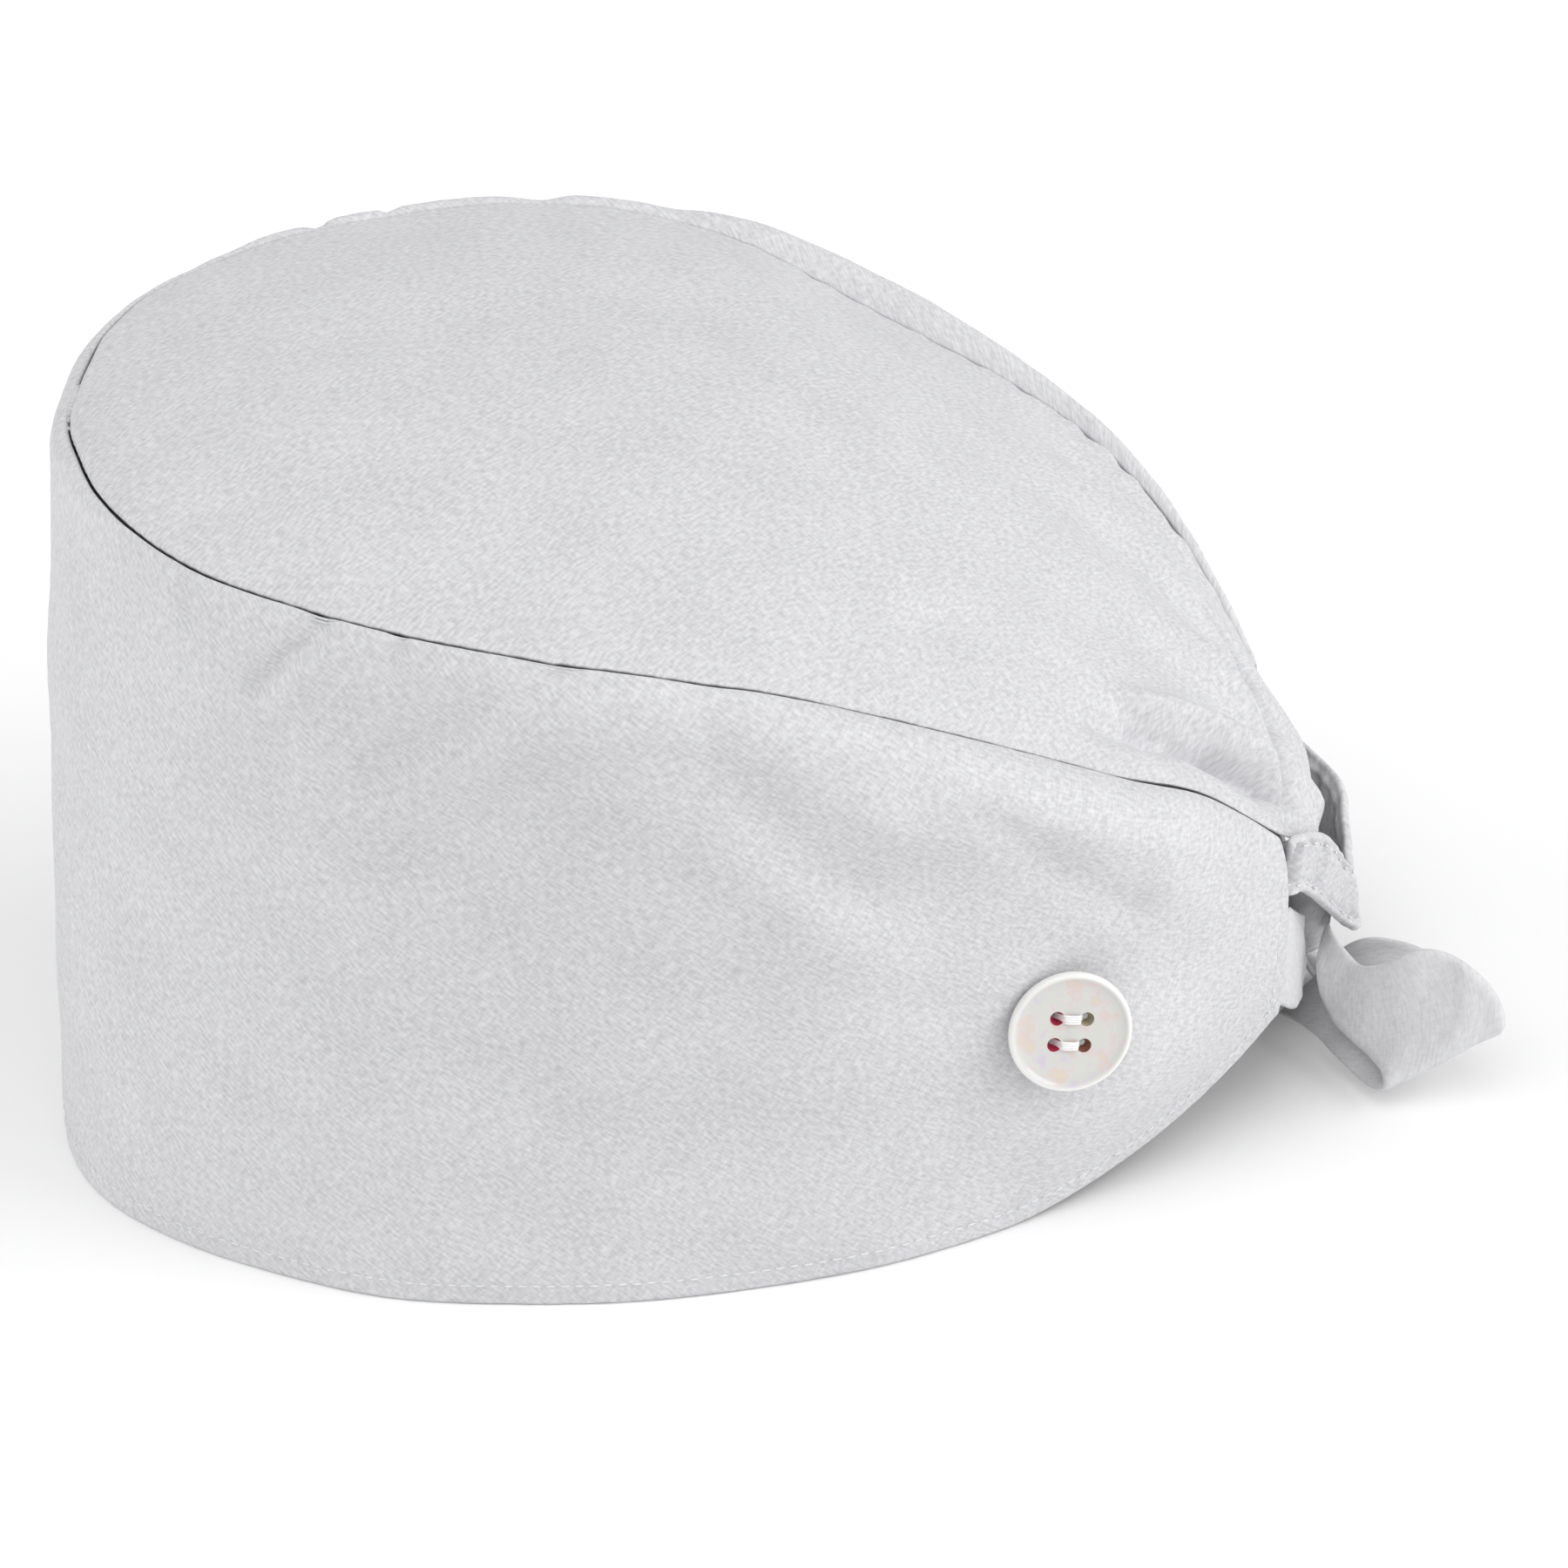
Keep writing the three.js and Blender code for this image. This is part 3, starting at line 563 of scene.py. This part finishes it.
grid, along, across = strip(strap_stations, 260, 26)
width = across[:, -1:]
inset = np.minimum(across, width - across)
ruffles = strap_ruffle["height"] + strap_ruffle["near_end"] * np.exp(-(along / strap_ruffle["fades_over"]))
relief = ruffles * crumple(along + 0.25 * across, 0.12 * across, 4.4, 21) * np.clip(inset / 3, 0.25, 1)
relief -= strap_groove["depth"] * near_line(inset - strap_stitch_inset, strap_groove["half_width"])
relief += strap_rim["height"] * near_line(inset - strap_rim["inset"], strap_rim["half_width"])
strap_places = np.stack([along, across], -1)
strap_cloth = ribbon("strap_cloth", grid, across, relief, strap_thick, strap_places, twill)
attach(strap_cloth, "root")
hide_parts("back_strap")
strap_seams = edge_seams(grid, across, relief, strap_thick, strap_stitch_inset)

# The ties are two ribbons of lighter grey cloth, folded double and pressed.
# Each is sewn inside the band's free end, turns in behind the neck, and goes into the knot.
tie_thick = 1.2
tie_inset = 2.5
tie_root = dict(start=0.925, end=0.995, steps=3, top=40.5, bottom=21)
ribbon_edge = dict(height=0.16, half_width=0.9)
tie_stations = [(24.2, 89.3, 39, 17), (19, 90.6, 35.5, 14.8), (13.2, 91.8, 31, 15), (7.8, 93, 27, 16.5)]

# Soft ribbon cloth, plain woven from fine yarn and pressed: smoother than the twill, faintly silky.
tie_cloth = woven_cloth("pressed_ribbon_cloth", "#d8d8da", "#c6c6c8", 0.0006, 0.00004, 0.8)


def rise_at(v, height):
    """The rise on the wall at which it stands at a given height."""
    foot = band_wall(v, np.zeros(1))[0, 2]
    top = band_wall(v, np.ones(1))[0, 2]
    return np.array([(height - foot) / (top - foot)])


def wall_normal(v, rise):
    """The direction out of the wall at one place."""
    step = 0.004
    along = band_wall(np.minimum(v + step, 1), rise) - band_wall(v - step, rise)
    upward = band_wall(v, rise + step) - band_wall(v, rise - step)
    normal = unit(np.cross(along, upward))
    return normal * np.sign(np.sum(normal * outward(v)))


def lay_ribbon(name, stations, node, seed, steps, widths):
    """One ribbon of the ties or bow, with its pressed edges and slight waves."""
    grid, along, across = strip(stations, steps, widths)
    inset = np.minimum(across, across[:, -1:] - across)
    relief = 0.22 * crumple(along, 0.4 * across, 14, seed) + 0.06 * crumple(along, across, 5, seed + 1)
    relief += ribbon_edge["height"] * near_line(inset, ribbon_edge["half_width"])
    piece = ribbon(name, grid, across, relief, tie_thick, np.stack([along, across], -1), tie_cloth)
    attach(piece, "root")
    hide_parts(node)
    return piece


for side, name, node in ((1, "tie_left_ribbon", "tie_left"), (-1, "tie_right_ribbon", "tie_right")):
    stations = []
    for k in range(tie_root["steps"] + 1):
        share = tie_root["start"] + (tie_root["end"] - tie_root["start"]) * k / tie_root["steps"]
        place = np.array([0.5 + share / 2])
        pair = []
        for height in (tie_root["top"], tie_root["bottom"]):
            rise = rise_at(place, height)
            pair.append((band_wall(place, rise) - tie_inset * wall_normal(place, rise))[0])
        stations.append(pair)
    stations += [((tx, ty, top), (tx, ty, bottom)) for tx, ty, top, bottom in tie_stations]
    stations = [[np.array(p) * (side, 1, 1) for p in pair] for pair in stations]
    lay_ribbon(name, stations, node, 31 if side > 0 else 41, 110, 30)

# The knot and the bow: the ties cross and are drawn tight in one furrowed lump, one ribbon stands
# out as the bow's single loop, and two short free ends hang behind it.
knot = dict(middle=(-0.6, 94, 21.6), half=(6.2, 5, 7.6), furrows=3, depth=0.32)
loop_stations = [
    ((7.3, 96.9, 20.6), (6.2, 97.8, 23.6)),
    ((12, 95.4, 18.6), (13.4, 100.2, 22.4)),
    ((16, 95, 14.4), (18, 102.6, 21.4)),
    ((20, 96.8, 11.2), (22, 107.4, 23.8)),
    ((24.6, 99.8, 9.4), (24.4, 114, 27.6)),
    ((29.4, 102.8, 8.2), (27, 121, 26)),
    ((33.6, 104.6, 7.4), (31.4, 126.6, 20.8)),
    ((35.6, 104.6, 5.6), (34, 127.8, 15.8)),
    ((33.2, 103.2, 3.6), (30.6, 126, 13)),
    ((27.4, 100.4, 3), (21.6, 121.6, 17)),
    ((21, 97, 4), (15, 115, 21.4)),
    ((15, 93.6, 5.2), (10, 109, 21.2)),
    ((9.6, 90.4, 5), (6, 104, 19.2)),
    ((5.6, 88, 4), (4, 99.8, 15.6)),
]
tail_left_stations = [
    ((-4.6, 96.2, 14.5), (1.4, 97, 14.3)),
    ((-8, 101, 8.6), (5.4, 103, 8)),
    ((-9.6, 106, 5.8), (10, 108.6, 5.4)),
    ((-9, 111.6, 4.6), (12, 114.6, 4)),
    ((-8.4, 117, 4.2), (12.8, 120, 3.4)),
]
tail_right_stations = [
    ((-6, 92.6, 14), (-0.4, 93.2, 13.4)),
    ((-11, 94.8, 7), (1.4, 97, 6.4)),
    ((-13, 99.4, 3.6), (4.4, 102.6, 3.2)),
    ((-14, 104.4, 2.6), (5, 108, 2.2)),
    ((-14.6, 109, 2.2), (4.4, 113, 1.8)),
]
bow_loop = lay_ribbon("loop_ribbon", loop_stations, "bow_loop", 51, 240, 30)
tail_left = lay_ribbon("tail_left_ribbon", tail_left_stations, "tail_left", 61, 60, 26)
tail_right = lay_ribbon("tail_right_ribbon", tail_right_stations, "tail_right", 71, 60, 26)

ball = bmesh.new()
bmesh.ops.create_uvsphere(ball, u_segments=72, v_segments=48, radius=1)
for vertex in ball.verts:
    px, py, pz = vertex.co
    wave = (0.5 - 0.5 * math.cos(knot["furrows"] * math.pi * (pz + 0.3 * px))) ** 5
    fine = 0.025 * math.sin(17 * pz + 5 * px) + 0.012 * math.sin(31 * pz - 7 * px + 2 * py)
    furrow = (1 - knot["depth"] * wave * (1 - px * px)) * (1 + fine)
    scale = (knot["half"][0] * furrow, knot["half"][1] * furrow, knot["half"][2])
    shift = (knot["middle"][0], knot["middle"][1] + to_frame_y, knot["middle"][2])
    vertex.co = [(c * k + m) * 0.001 for c, k, m in zip((px, py, pz), scale, shift)]
knot_mesh = bpy.data.meshes.new("knot_ribbon")
layer = ball.loops.layers.uv.new("cloth")
for face in ball.faces:
    for loop in face.loops:
        loop[layer].uv = (loop.vert.co.x - loop.vert.co.y, loop.vert.co.z)
ball.to_mesh(knot_mesh)
ball.free()
knot_mesh.shade_smooth()
knot_mesh.materials.append(tie_cloth)
knot_piece = put("knot_ribbon", knot_mesh)
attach(knot_piece, "root")
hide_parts("tie_knot")

# The buttons are turned from mother-of-pearl shell: a raised ring round a shallow dish with four
# holes. Each is sewn on with two bars of white thread, and stands a little off the cloth.
button_radius = 11.4
button_thick = 2.5
hole_radius = 1.3
hole_along = (2.75, 2.5)
drill = dict(tip=0.02, top=2.17, depth=5)
# Where the painted highlight on the raised ring starts, and how wide its blend is, in millimetres.
highlight_start = 10.2
highlight_blend = 0.6
cloth_gap = 0.35
ring_profile = [
    (0, 0), (6, 0), (9.6, 0.05), (10.7, 0.35), (11.25, 0.8), (11.4, 1.25), (11.36, 1.75), (11.2, 2.2),
    (10.95, 2.42), (10.65, 2.5), (10.35, 2.42), (10, 2.22), (9.5, 2), (8.2, 1.84), (4, 1.78), (0, 1.78),
]
lathe_steps = 96


def pearl_shell():
    """Mother-of-pearl: glossy thin layers that give faint pink, green, yellow and lavender clouds; the raised
    ring has a painted highlight.
    """
    material, tree = new_material("turned_mother_of_pearl")
    place = add(tree, "ShaderNodeTexCoord").outputs["Object"]
    cloudy = add(tree, "ShaderNodeTexNoise", Vector=place, Scale=330.0, Detail=3.5, Distortion=0.25)
    clouds = cloudy.outputs[0]
    ramp = add(tree, "ShaderNodeValToRGB", _0=clouds)
    stops = [
        (0.3, "#c6bdcb"), (0.4, "#cdcac9"), (0.46, "#c6cbc0"),
        (0.53, "#cecaca"), (0.6, "#cfbfbe"), (0.7, "#cfc8b4"),
    ]
    ramp.color_ramp.interpolation = "B_SPLINE"
    ramp.color_ramp.elements.remove(ramp.color_ramp.elements[1])
    ramp.color_ramp.elements[0].position = stops[0][0]
    ramp.color_ramp.elements[0].color = linear(stops[0][1])
    for position, code in stops[1:]:
        ramp.color_ramp.elements.new(position).color = linear(code)
    # The raised ring is painted lighter than the dish: a painted highlight where the ring catches the light.
    mottle_and_painted_highlight = add(tree, "ShaderNodeAttribute", {"attribute_name": "ring"}).outputs["Fac"]
    colour = add(
        tree, "ShaderNodeMix", {"data_type": "RGBA"}, _0=mottle_and_painted_highlight, _6=ramp.outputs[0], _7=linear("#e6e6e3"),
    )
    layers = add(tree, "ShaderNodeTexNoise", Vector=place, Scale=600.0, Detail=3.0).outputs[0]
    bump = add(tree, "ShaderNodeBump", Height=layers, Strength=0.15, Distance=0.00005)
    roughness = add(tree, "ShaderNodeMapRange", Value=clouds, To_Min=0.16, To_Max=0.3)
    shader = add(
        tree, "ShaderNodeBsdfPrincipled", Base_Color=colour.outputs[2], Roughness=roughness.outputs[0],
        Normal=bump.outputs[0], IOR=1.53, Coat_Weight=0.3, Coat_Roughness=0.1,
    )
    add(tree, "ShaderNodeOutputMaterial", Surface=shader.outputs[0])
    return material


def bore_in_painted_shade(tint, light, dark):
    """The unpolished inside of a drilled hole: dull, and painted dark with a tint, as painted shade deep in
    the hole.
    """
    material, tree = new_material("bore_in_painted_shade_" + tint)
    place = add(tree, "ShaderNodeTexCoord").outputs["Object"]
    grain = add(tree, "ShaderNodeTexNoise", Vector=place, Scale=900.0, Detail=2.0).outputs[0]
    colour = blend(tree, grain, dark, light)
    shader = add(tree, "ShaderNodeBsdfPrincipled", Base_Color=colour.outputs[2], Roughness=0.7)
    add(tree, "ShaderNodeOutputMaterial", Surface=shader.outputs[0])
    return material


def spun_thread(name, dark, light, twists, strength, lift, rough):
    """Spun polyester sewing thread: matt, with its two plies' twist as a fine slanting line."""
    material, tree = new_material(name)
    place = add(tree, "ShaderNodeTexCoord").outputs["Object"]
    twist = add(tree, "ShaderNodeTexNoise", Vector=place, Scale=twists, Detail=1.0).outputs[0]
    colour = blend(tree, twist, dark, light)
    bump = add(tree, "ShaderNodeBump", Height=twist, Strength=strength, Distance=lift)
    shader = add(
        tree, "ShaderNodeBsdfPrincipled", Base_Color=colour.outputs[2], Roughness=rough,
        Normal=bump.outputs[0],
    )
    add(tree, "ShaderNodeOutputMaterial", Surface=shader.outputs[0])
    return material


pearl = pearl_shell()
# Dark crimson, brown and olive for the walls of the holes: painted shade inside the holes, in three tints.
bores = [
    bore_in_painted_shade("crimson", "#b42a4c", "#7c1432"), bore_in_painted_shade("brown", "#8c5a42", "#5c3828"),
    bore_in_painted_shade("olive", "#aaa284", "#78725c"),
]
thread = spun_thread("spun_polyester_thread", "#dcdcdc", "#f6f6f5", 3000.0, 0.4, 0.00005, 0.7)


def lathed_disc():
    """The button's disc about the z axis, its back at height 0, in millimetres."""
    disc = bmesh.new()
    rings = []
    for radius, height in ring_profile[1:-1]:
        turns = [k / lathe_steps * math.tau for k in range(lathe_steps)]
        rings.append([disc.verts.new((radius * math.cos(t), radius * math.sin(t), height)) for t in turns])
    for low, high in zip(rings, rings[1:]):
        for k in range(lathe_steps):
            n = (k + 1) % lathe_steps
            disc.faces.new((low[k], low[n], high[n], high[k]))
    disc.faces.new(rings[0][::-1])
    disc.faces.new(rings[-1])
    mesh = bpy.data.meshes.new("disc")
    disc.to_mesh(mesh)
    disc.free()
    return put("disc", mesh)


def drilled_disc():
    """The disc with its four holes, as a mesh; the walls of the holes take the second material."""
    disc = lathed_disc()
    cones = bmesh.new()
    for sx in (-1, 1):
        for sy in (-1, 1):
            at = Matrix.Translation((sx * hole_along[0], sy * hole_along[1], button_thick / 2))
            bmesh.ops.create_cone(
                cones, cap_ends=True, segments=28, radius1=drill["tip"], radius2=drill["top"],
                depth=drill["depth"], matrix=at,
            )
    drill_mesh = bpy.data.meshes.new("drill")
    cones.to_mesh(drill_mesh)
    cones.free()
    cutter = put("drill", drill_mesh)
    cut = disc.modifiers.new("holes", "BOOLEAN")
    cut.operation = "DIFFERENCE"
    cut.solver = "EXACT"
    cut.object = cutter
    bpy.context.view_layer.update()
    made = bpy.data.meshes.new_from_object(disc.evaluated_get(bpy.context.evaluated_depsgraph_get()))
    bpy.data.objects.remove(disc)
    bpy.data.objects.remove(cutter)
    made.materials.clear()
    made.materials.append(pearl)
    for bore in bores:
        made.materials.append(bore)
    # The walls of the holes take the dark bore materials: painted shade inside the holes.
    for face in made.polygons:
        px, py = abs(face.center.x) - hole_along[0], abs(face.center.y) - hole_along[1]
        if math.hypot(px, py) < hole_radius * 1.02 and abs(face.normal.z) < 0.6:
            face.material_index = 1 if face.center.x < 0 else 2 if face.center.y < 0 else 3
    # A share from 0 in the dish to 1 on the raised ring, which paints the ring's highlight.
    from_middle = [math.hypot(*vertex.co[:2]) for vertex in made.vertices]
    painted_highlight = [min(max((radius - highlight_start) / highlight_blend, 0), 1) for radius in from_middle]
    made.attributes.new("ring", "FLOAT", "POINT").data.foreach_set("value", painted_highlight)
    return made


def tube(path, radius, sides=8):
    """Points and faces of a closed round strand along a path."""
    path = np.array(path, float)
    way = unit(np.gradient(path, axis=0))
    lean = unit(np.cross(way, (0.31, 0.77, 0.55)))
    other = np.cross(way, lean)
    turns = np.arange(sides) / sides * math.tau
    ring = lean[:, None] * np.cos(turns)[:, None] + other[:, None] * np.sin(turns)[:, None]
    points = (path[:, None] + radius * ring).reshape(-1, 3)
    faces = []
    for i in range(len(path) - 1):
        for k in range(sides):
            n = (k + 1) % sides
            faces.append((i * sides + k, i * sides + n, (i + 1) * sides + n, (i + 1) * sides + k))
    faces += [tuple(range(sides))[::-1], tuple(range(len(points) - sides, len(points)))]
    return points, faces


def sewing_thread(seed):
    """Two bars of thread side by side over the dish, down through the holes, and a wrapped shank."""
    rng = np.random.default_rng(seed)
    strand, spread, bundled = 0.24, 0.42, 0.3
    wraps, shank = 7, 1.5
    points, faces = [], []
    paths = []
    for sy in (-1, 1):
        for k in range(4):
            beside = k - 1.5
            lane = sy * hole_along[1] + beside * spread + rng.uniform(-0.05, 0.05)
            top = 2.35 + 0.12 * (1 - abs(beside) / 1.5) + rng.uniform(-0.05, 0.05)
            reach = hole_along[0] - 1.1 + rng.uniform(-0.06, 0.06)
            inner = sy * hole_along[1] + beside * bundled
            arc = smooth_line([
                (-hole_along[0], inner, -0.6), (-reach, inner, 1.3), (-reach + 0.3, lane, top - 0.2),
                (-0.9, lane, top), (0, lane, top + 0.05), (0.9, lane, top),
                (reach - 0.3, lane, top - 0.2), (reach, inner, 1.3), (hole_along[0], inner, -0.6),
            ])
            paths.append(arc(np.linspace(0, 1, 40)))
    turns = np.linspace(0, 1, 160)
    coil = turns * math.tau * wraps
    paths.append(np.stack([1.5 * np.cos(coil), 1.3 * np.sin(coil), -shank + shank * turns], -1))
    for path in paths:
        new_points, new_faces = tube(path, strand)
        start = sum(len(p) for p in points)
        points.append(new_points)
        faces += [tuple(start + i for i in face) for face in new_faces]
    mesh = bpy.data.meshes.new("thread")
    mesh.from_pydata(np.concatenate(points), [], faces)
    mesh.shade_smooth()
    mesh.materials.append(thread)
    return mesh


def turned_about(vector, axis, degrees):
    """A direction turned about an axis."""
    t = math.radians(degrees)
    swung = vector * math.cos(t) + np.cross(axis, vector) * math.sin(t)
    return swung + axis * (axis @ vector) * (1 - math.cos(t))


button_v = np.array([0.5 + button_seat["along"] / 2])
button_rise = rise_at(button_v, button_seat["height"])
seat = band_wall(button_v, button_rise)[0]
seat_normal = wall_normal(button_v, button_rise)[0]
facing = turned_about(seat_normal, np.array([0, 0, 1.0]), -button_seat["turn"])
facing = turned_about(facing, unit(np.cross(facing, (0, 0, 1))), button_seat["tilt"])
lean = math.acos(float(facing @ seat_normal))
seat = seat + seat_normal * (cloth_gap + button_radius * math.sin(lean))
disc_mesh = drilled_disc()
for side, word in ((1, "left"), (-1, "right")):
    face = facing * (side, 1, 1)
    level = turned_about(unit(np.cross((0, 0, 1), face)), face, side * button_seat["spin"])
    place = Matrix.Identity(4)
    for k, axis in enumerate((level, np.cross(face, level), face, seat * (side, 1, 1) + (0, to_frame_y, 0))):
        for row in range(3):
            place[row][k] = axis[row] * (0.001 if k == 3 else 1)
    place = place @ Matrix.Scale(0.001, 4)
    for kind, mesh in (("shell", disc_mesh.copy()), ("thread", sewing_thread(80 + side))):
        mesh.transform(place)
        piece = put(f"button_{word}_{kind}", mesh)
        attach(piece, "root")
        if kind == "shell":
            mesh.shade_smooth()
            mesh.set_sharp_from_angle(angle=math.radians(40))
            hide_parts(f"button_{word}")

# The topstitching: lockstitch in thread of the cloth's own grey, about 2.5 mm a stitch, along the
# hem, the band's free ends and both edges of the strap.
dyed_thread = spun_thread("dyed_polyester_thread", "#cfcfd1", "#e2e2e4", 2600.0, 0.3, 0.00004, 0.75)


def stitch_tree(material):
    """Geometry nodes that lay one rounded stitch after another along a line of edges."""
    tree = bpy.data.node_groups.new("lockstitch", "GeometryNodeTree")
    face = tree.interface
    face.new_socket("line", in_out="INPUT", socket_type="NodeSocketGeometry")
    sizes = (("stitch length", 0.0020), ("space", 0.0006), ("thread", 0.00042), ("wander", 0.12))
    for name, value in sizes:
        face.new_socket(name, in_out="INPUT", socket_type="NodeSocketFloat").default_value = value
    face.new_socket("seed", in_out="INPUT", socket_type="NodeSocketInt").default_value = 1
    face.new_socket("stitches", in_out="OUTPUT", socket_type="NodeSocketGeometry")
    given = tree.nodes.new("NodeGroupInput").outputs
    pitch = add(tree, "ShaderNodeMath", {"operation": "ADD"}, _0=given["stitch length"], _1=given["space"])
    curve = add(tree, "GeometryNodeMeshToCurve", Mesh=given["line"])
    spaced = add(
        tree, "GeometryNodeResampleCurve", {"mode": "LENGTH"}, Curve=curve.outputs[0],
        Length=pitch.outputs[0],
    )
    way = add(tree, "GeometryNodeInputTangent").outputs[0]
    turn = add(tree, "FunctionNodeAlignRotationToVector", {"axis": "X"}, Vector=way).outputs[0]
    low = add(tree, "ShaderNodeMath", {"operation": "SUBTRACT"}, _0=1.0, _1=given["wander"]).outputs[0]
    jitter = add(tree, "FunctionNodeRandomValue", {"data_type": "FLOAT"}, _2=low, _3=1.0, Seed=given["seed"])
    thick = given["thread"]
    size = add(tree, "ShaderNodeCombineXYZ", _0=given["stitch length"], _1=thick, _2=thick)
    bead = add(tree, "GeometryNodeMeshUVSphere", Segments=8, Rings=6, Radius=0.5)
    laid = add(
        tree, "GeometryNodeInstanceOnPoints", Points=spaced.outputs[0], Instance=bead.outputs[0],
        Rotation=turn, Scale=size.outputs[0],
    )
    grow = add(tree, "ShaderNodeCombineXYZ", _0=jitter.outputs[1], _1=1.0, _2=1.0).outputs[0]
    scaled = add(tree, "GeometryNodeScaleInstances", Instances=laid.outputs[0], Scale=grow)
    real = add(tree, "GeometryNodeRealizeInstances", Geometry=scaled.outputs[0])
    smooth = add(tree, "GeometryNodeSetShadeSmooth", Geometry=real.outputs[0])
    dressed = add(tree, "GeometryNodeSetMaterial", Geometry=smooth.outputs[0], Material=material)
    add(tree, "NodeGroupOutput", _0=dressed.outputs[0])
    return tree


lockstitch = stitch_tree(dyed_thread)


def sew(name, lines, seed):
    """A row of stitches along each line of points, as one plain mesh."""
    points, edges = [], []
    for line in lines:
        start = len(points)
        points += [tuple((p + (0, to_frame_y, 0)) * 0.001) for p in line]
        edges += [(start + k, start + k + 1) for k in range(len(line) - 1)]
    mesh = bpy.data.meshes.new(name + "_line")
    mesh.from_pydata(points, edges, [])
    path = put(name + "_line", mesh)
    needle = path.modifiers.new("stitches", "NODES")
    needle.node_group = lockstitch
    needle[lockstitch.interface.items_tree["seed"].identifier] = seed
    bpy.context.view_layer.update()
    made = bpy.data.meshes.new_from_object(path.evaluated_get(bpy.context.evaluated_depsgraph_get()))
    made.name = name
    bpy.data.objects.remove(path)
    piece = put(name, made)
    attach(piece, "root")
    return piece


def seam_on(outer, normal, distance, wanted, lift):
    """Points on the outer face where the distance from an edge has the wanted value."""
    line = []
    for k in range(outer.shape[1]):
        at = np.array([np.interp(wanted, distance[:, k], outer[:, k, c]) for c in range(3)])
        out = np.array([np.interp(wanted, distance[:, k], normal[:, k, c]) for c in range(3)])
        line.append(at + out * lift)
    return line


stitch_lift = 0.08
end_columns = 40
end_rows = slice(8, 74)
hem_lines = [seam_on(band_outer, band_out, above_hem, hem_line, stitch_lift)]
for end in (slice(None, end_columns), slice(None, -1 - end_columns, -1)):
    outer, out, distance = (np.swapaxes(a, 0, 1)[end, end_rows] for a in (band_outer, band_out, to_end))
    hem_lines.append(seam_on(outer, out, distance, hem_line, 0))
hem_stitches = sew("hem_stitches", hem_lines, 1)
strap_stitches = sew("strap_stitches", strap_seams, 2)

# The stage: a plain white floor of matt paper, whose faint tooth keeps it from looking like glass,
# three soft lights and the camera at the photograph's angle.
floor_material, tree = new_material("matt_white_paper")
paper_place = add(tree, "ShaderNodeTexCoord").outputs["Object"]
paper_tooth = add(tree, "ShaderNodeTexNoise", Vector=paper_place, Scale=300.0).outputs[0]
paper_bump = add(tree, "ShaderNodeBump", Height=paper_tooth, Strength=0.05, Distance=0.0002)
paper = add(
    tree, "ShaderNodeBsdfPrincipled", Base_Color=linear("#fbfbfb"), Roughness=0.9,
    Normal=paper_bump.outputs[0],
)
add(tree, "ShaderNodeOutputMaterial", Surface=paper.outputs[0])
floor_mesh = bpy.data.meshes.new("floor")
reach = 4.0
floor_corners = [(-reach, -reach, 0), (reach, -reach, 0), (reach, reach, 0), (-reach, reach, 0)]
floor_mesh.from_pydata(floor_corners, [], [(0, 1, 2, 3)])
floor_mesh.materials.append(floor_material)
floor = put("floor", floor_mesh)

world = bpy.data.worlds.new("studio")
bpy.context.scene.world = world
world.use_nodes = True
world.node_tree.nodes.clear()
sky = add(world.node_tree, "ShaderNodeBackground", Color=(1, 1, 1, 1), Strength=0.53)
add(world.node_tree, "ShaderNodeOutputWorld", Surface=sky.outputs[0])


def soft_light(name, way, spread, strength):
    """A wide even light from far off, such as a large soft box, shining from the given way."""
    data = bpy.data.lights.new(name, "SUN")
    data.angle = math.radians(spread)
    data.energy = strength
    lamp = put(name, data)
    back = unit(np.array(way, float))
    side = unit(np.cross((0, 0, 1), back))
    top = np.cross(back, side)
    lamp.matrix_world = Matrix([[side[k], top[k], back[k], 0] for k in range(3)] + [(0, 0, 0, 1)])


soft_light("key", (0.3, 0.84, 0.45), 50, 1.75)
soft_light("fill", (0.05, -0.96, 0.28), 50, 1.05)
soft_light("top", (0.42, -0.1, 0.9), 60, 0.85)
bpy.context.scene.view_settings.view_transform = "Standard"

azimuth, elevation, camera_roll = math.radians(90), math.radians(31.5), math.radians(5)
camera_distance = 2.0
looked_at = np.array([0, 0.005563, 0.06])
back = np.array([
    math.sin(azimuth) * math.cos(elevation), -math.cos(azimuth) * math.cos(elevation), math.sin(elevation),
])
right = unit(np.cross(-back, (0, 0, 1)))
top = np.cross(right, -back)
right, top = (
    right * math.cos(camera_roll) - top * math.sin(camera_roll),
    right * math.sin(camera_roll) + top * math.cos(camera_roll),
)
eye = looked_at + back * camera_distance
camera_data = bpy.data.cameras.new("camera")
camera_data.lens = 250
camera_data.sensor_width = 36
camera_data.clip_end = 50
camera = put("camera", camera_data)
camera.matrix_world = Matrix([[right[k], top[k], back[k], eye[k]] for k in range(3)] + [(0, 0, 0, 1)])
bpy.context.scene.camera = camera

# The frame's own solids stay hidden behind their pieces, and carry the same finishes.
finish_of = {"cotton_twill": twill, "tie_cloth": tie_cloth, "button_shell": pearl}
for part in frame["record"]["subparts"]:
    solid = frame["nodes"][part["node"]]
    solid.data.materials.clear()
    solid.data.materials.append(finish_of[part["material_slot"]])
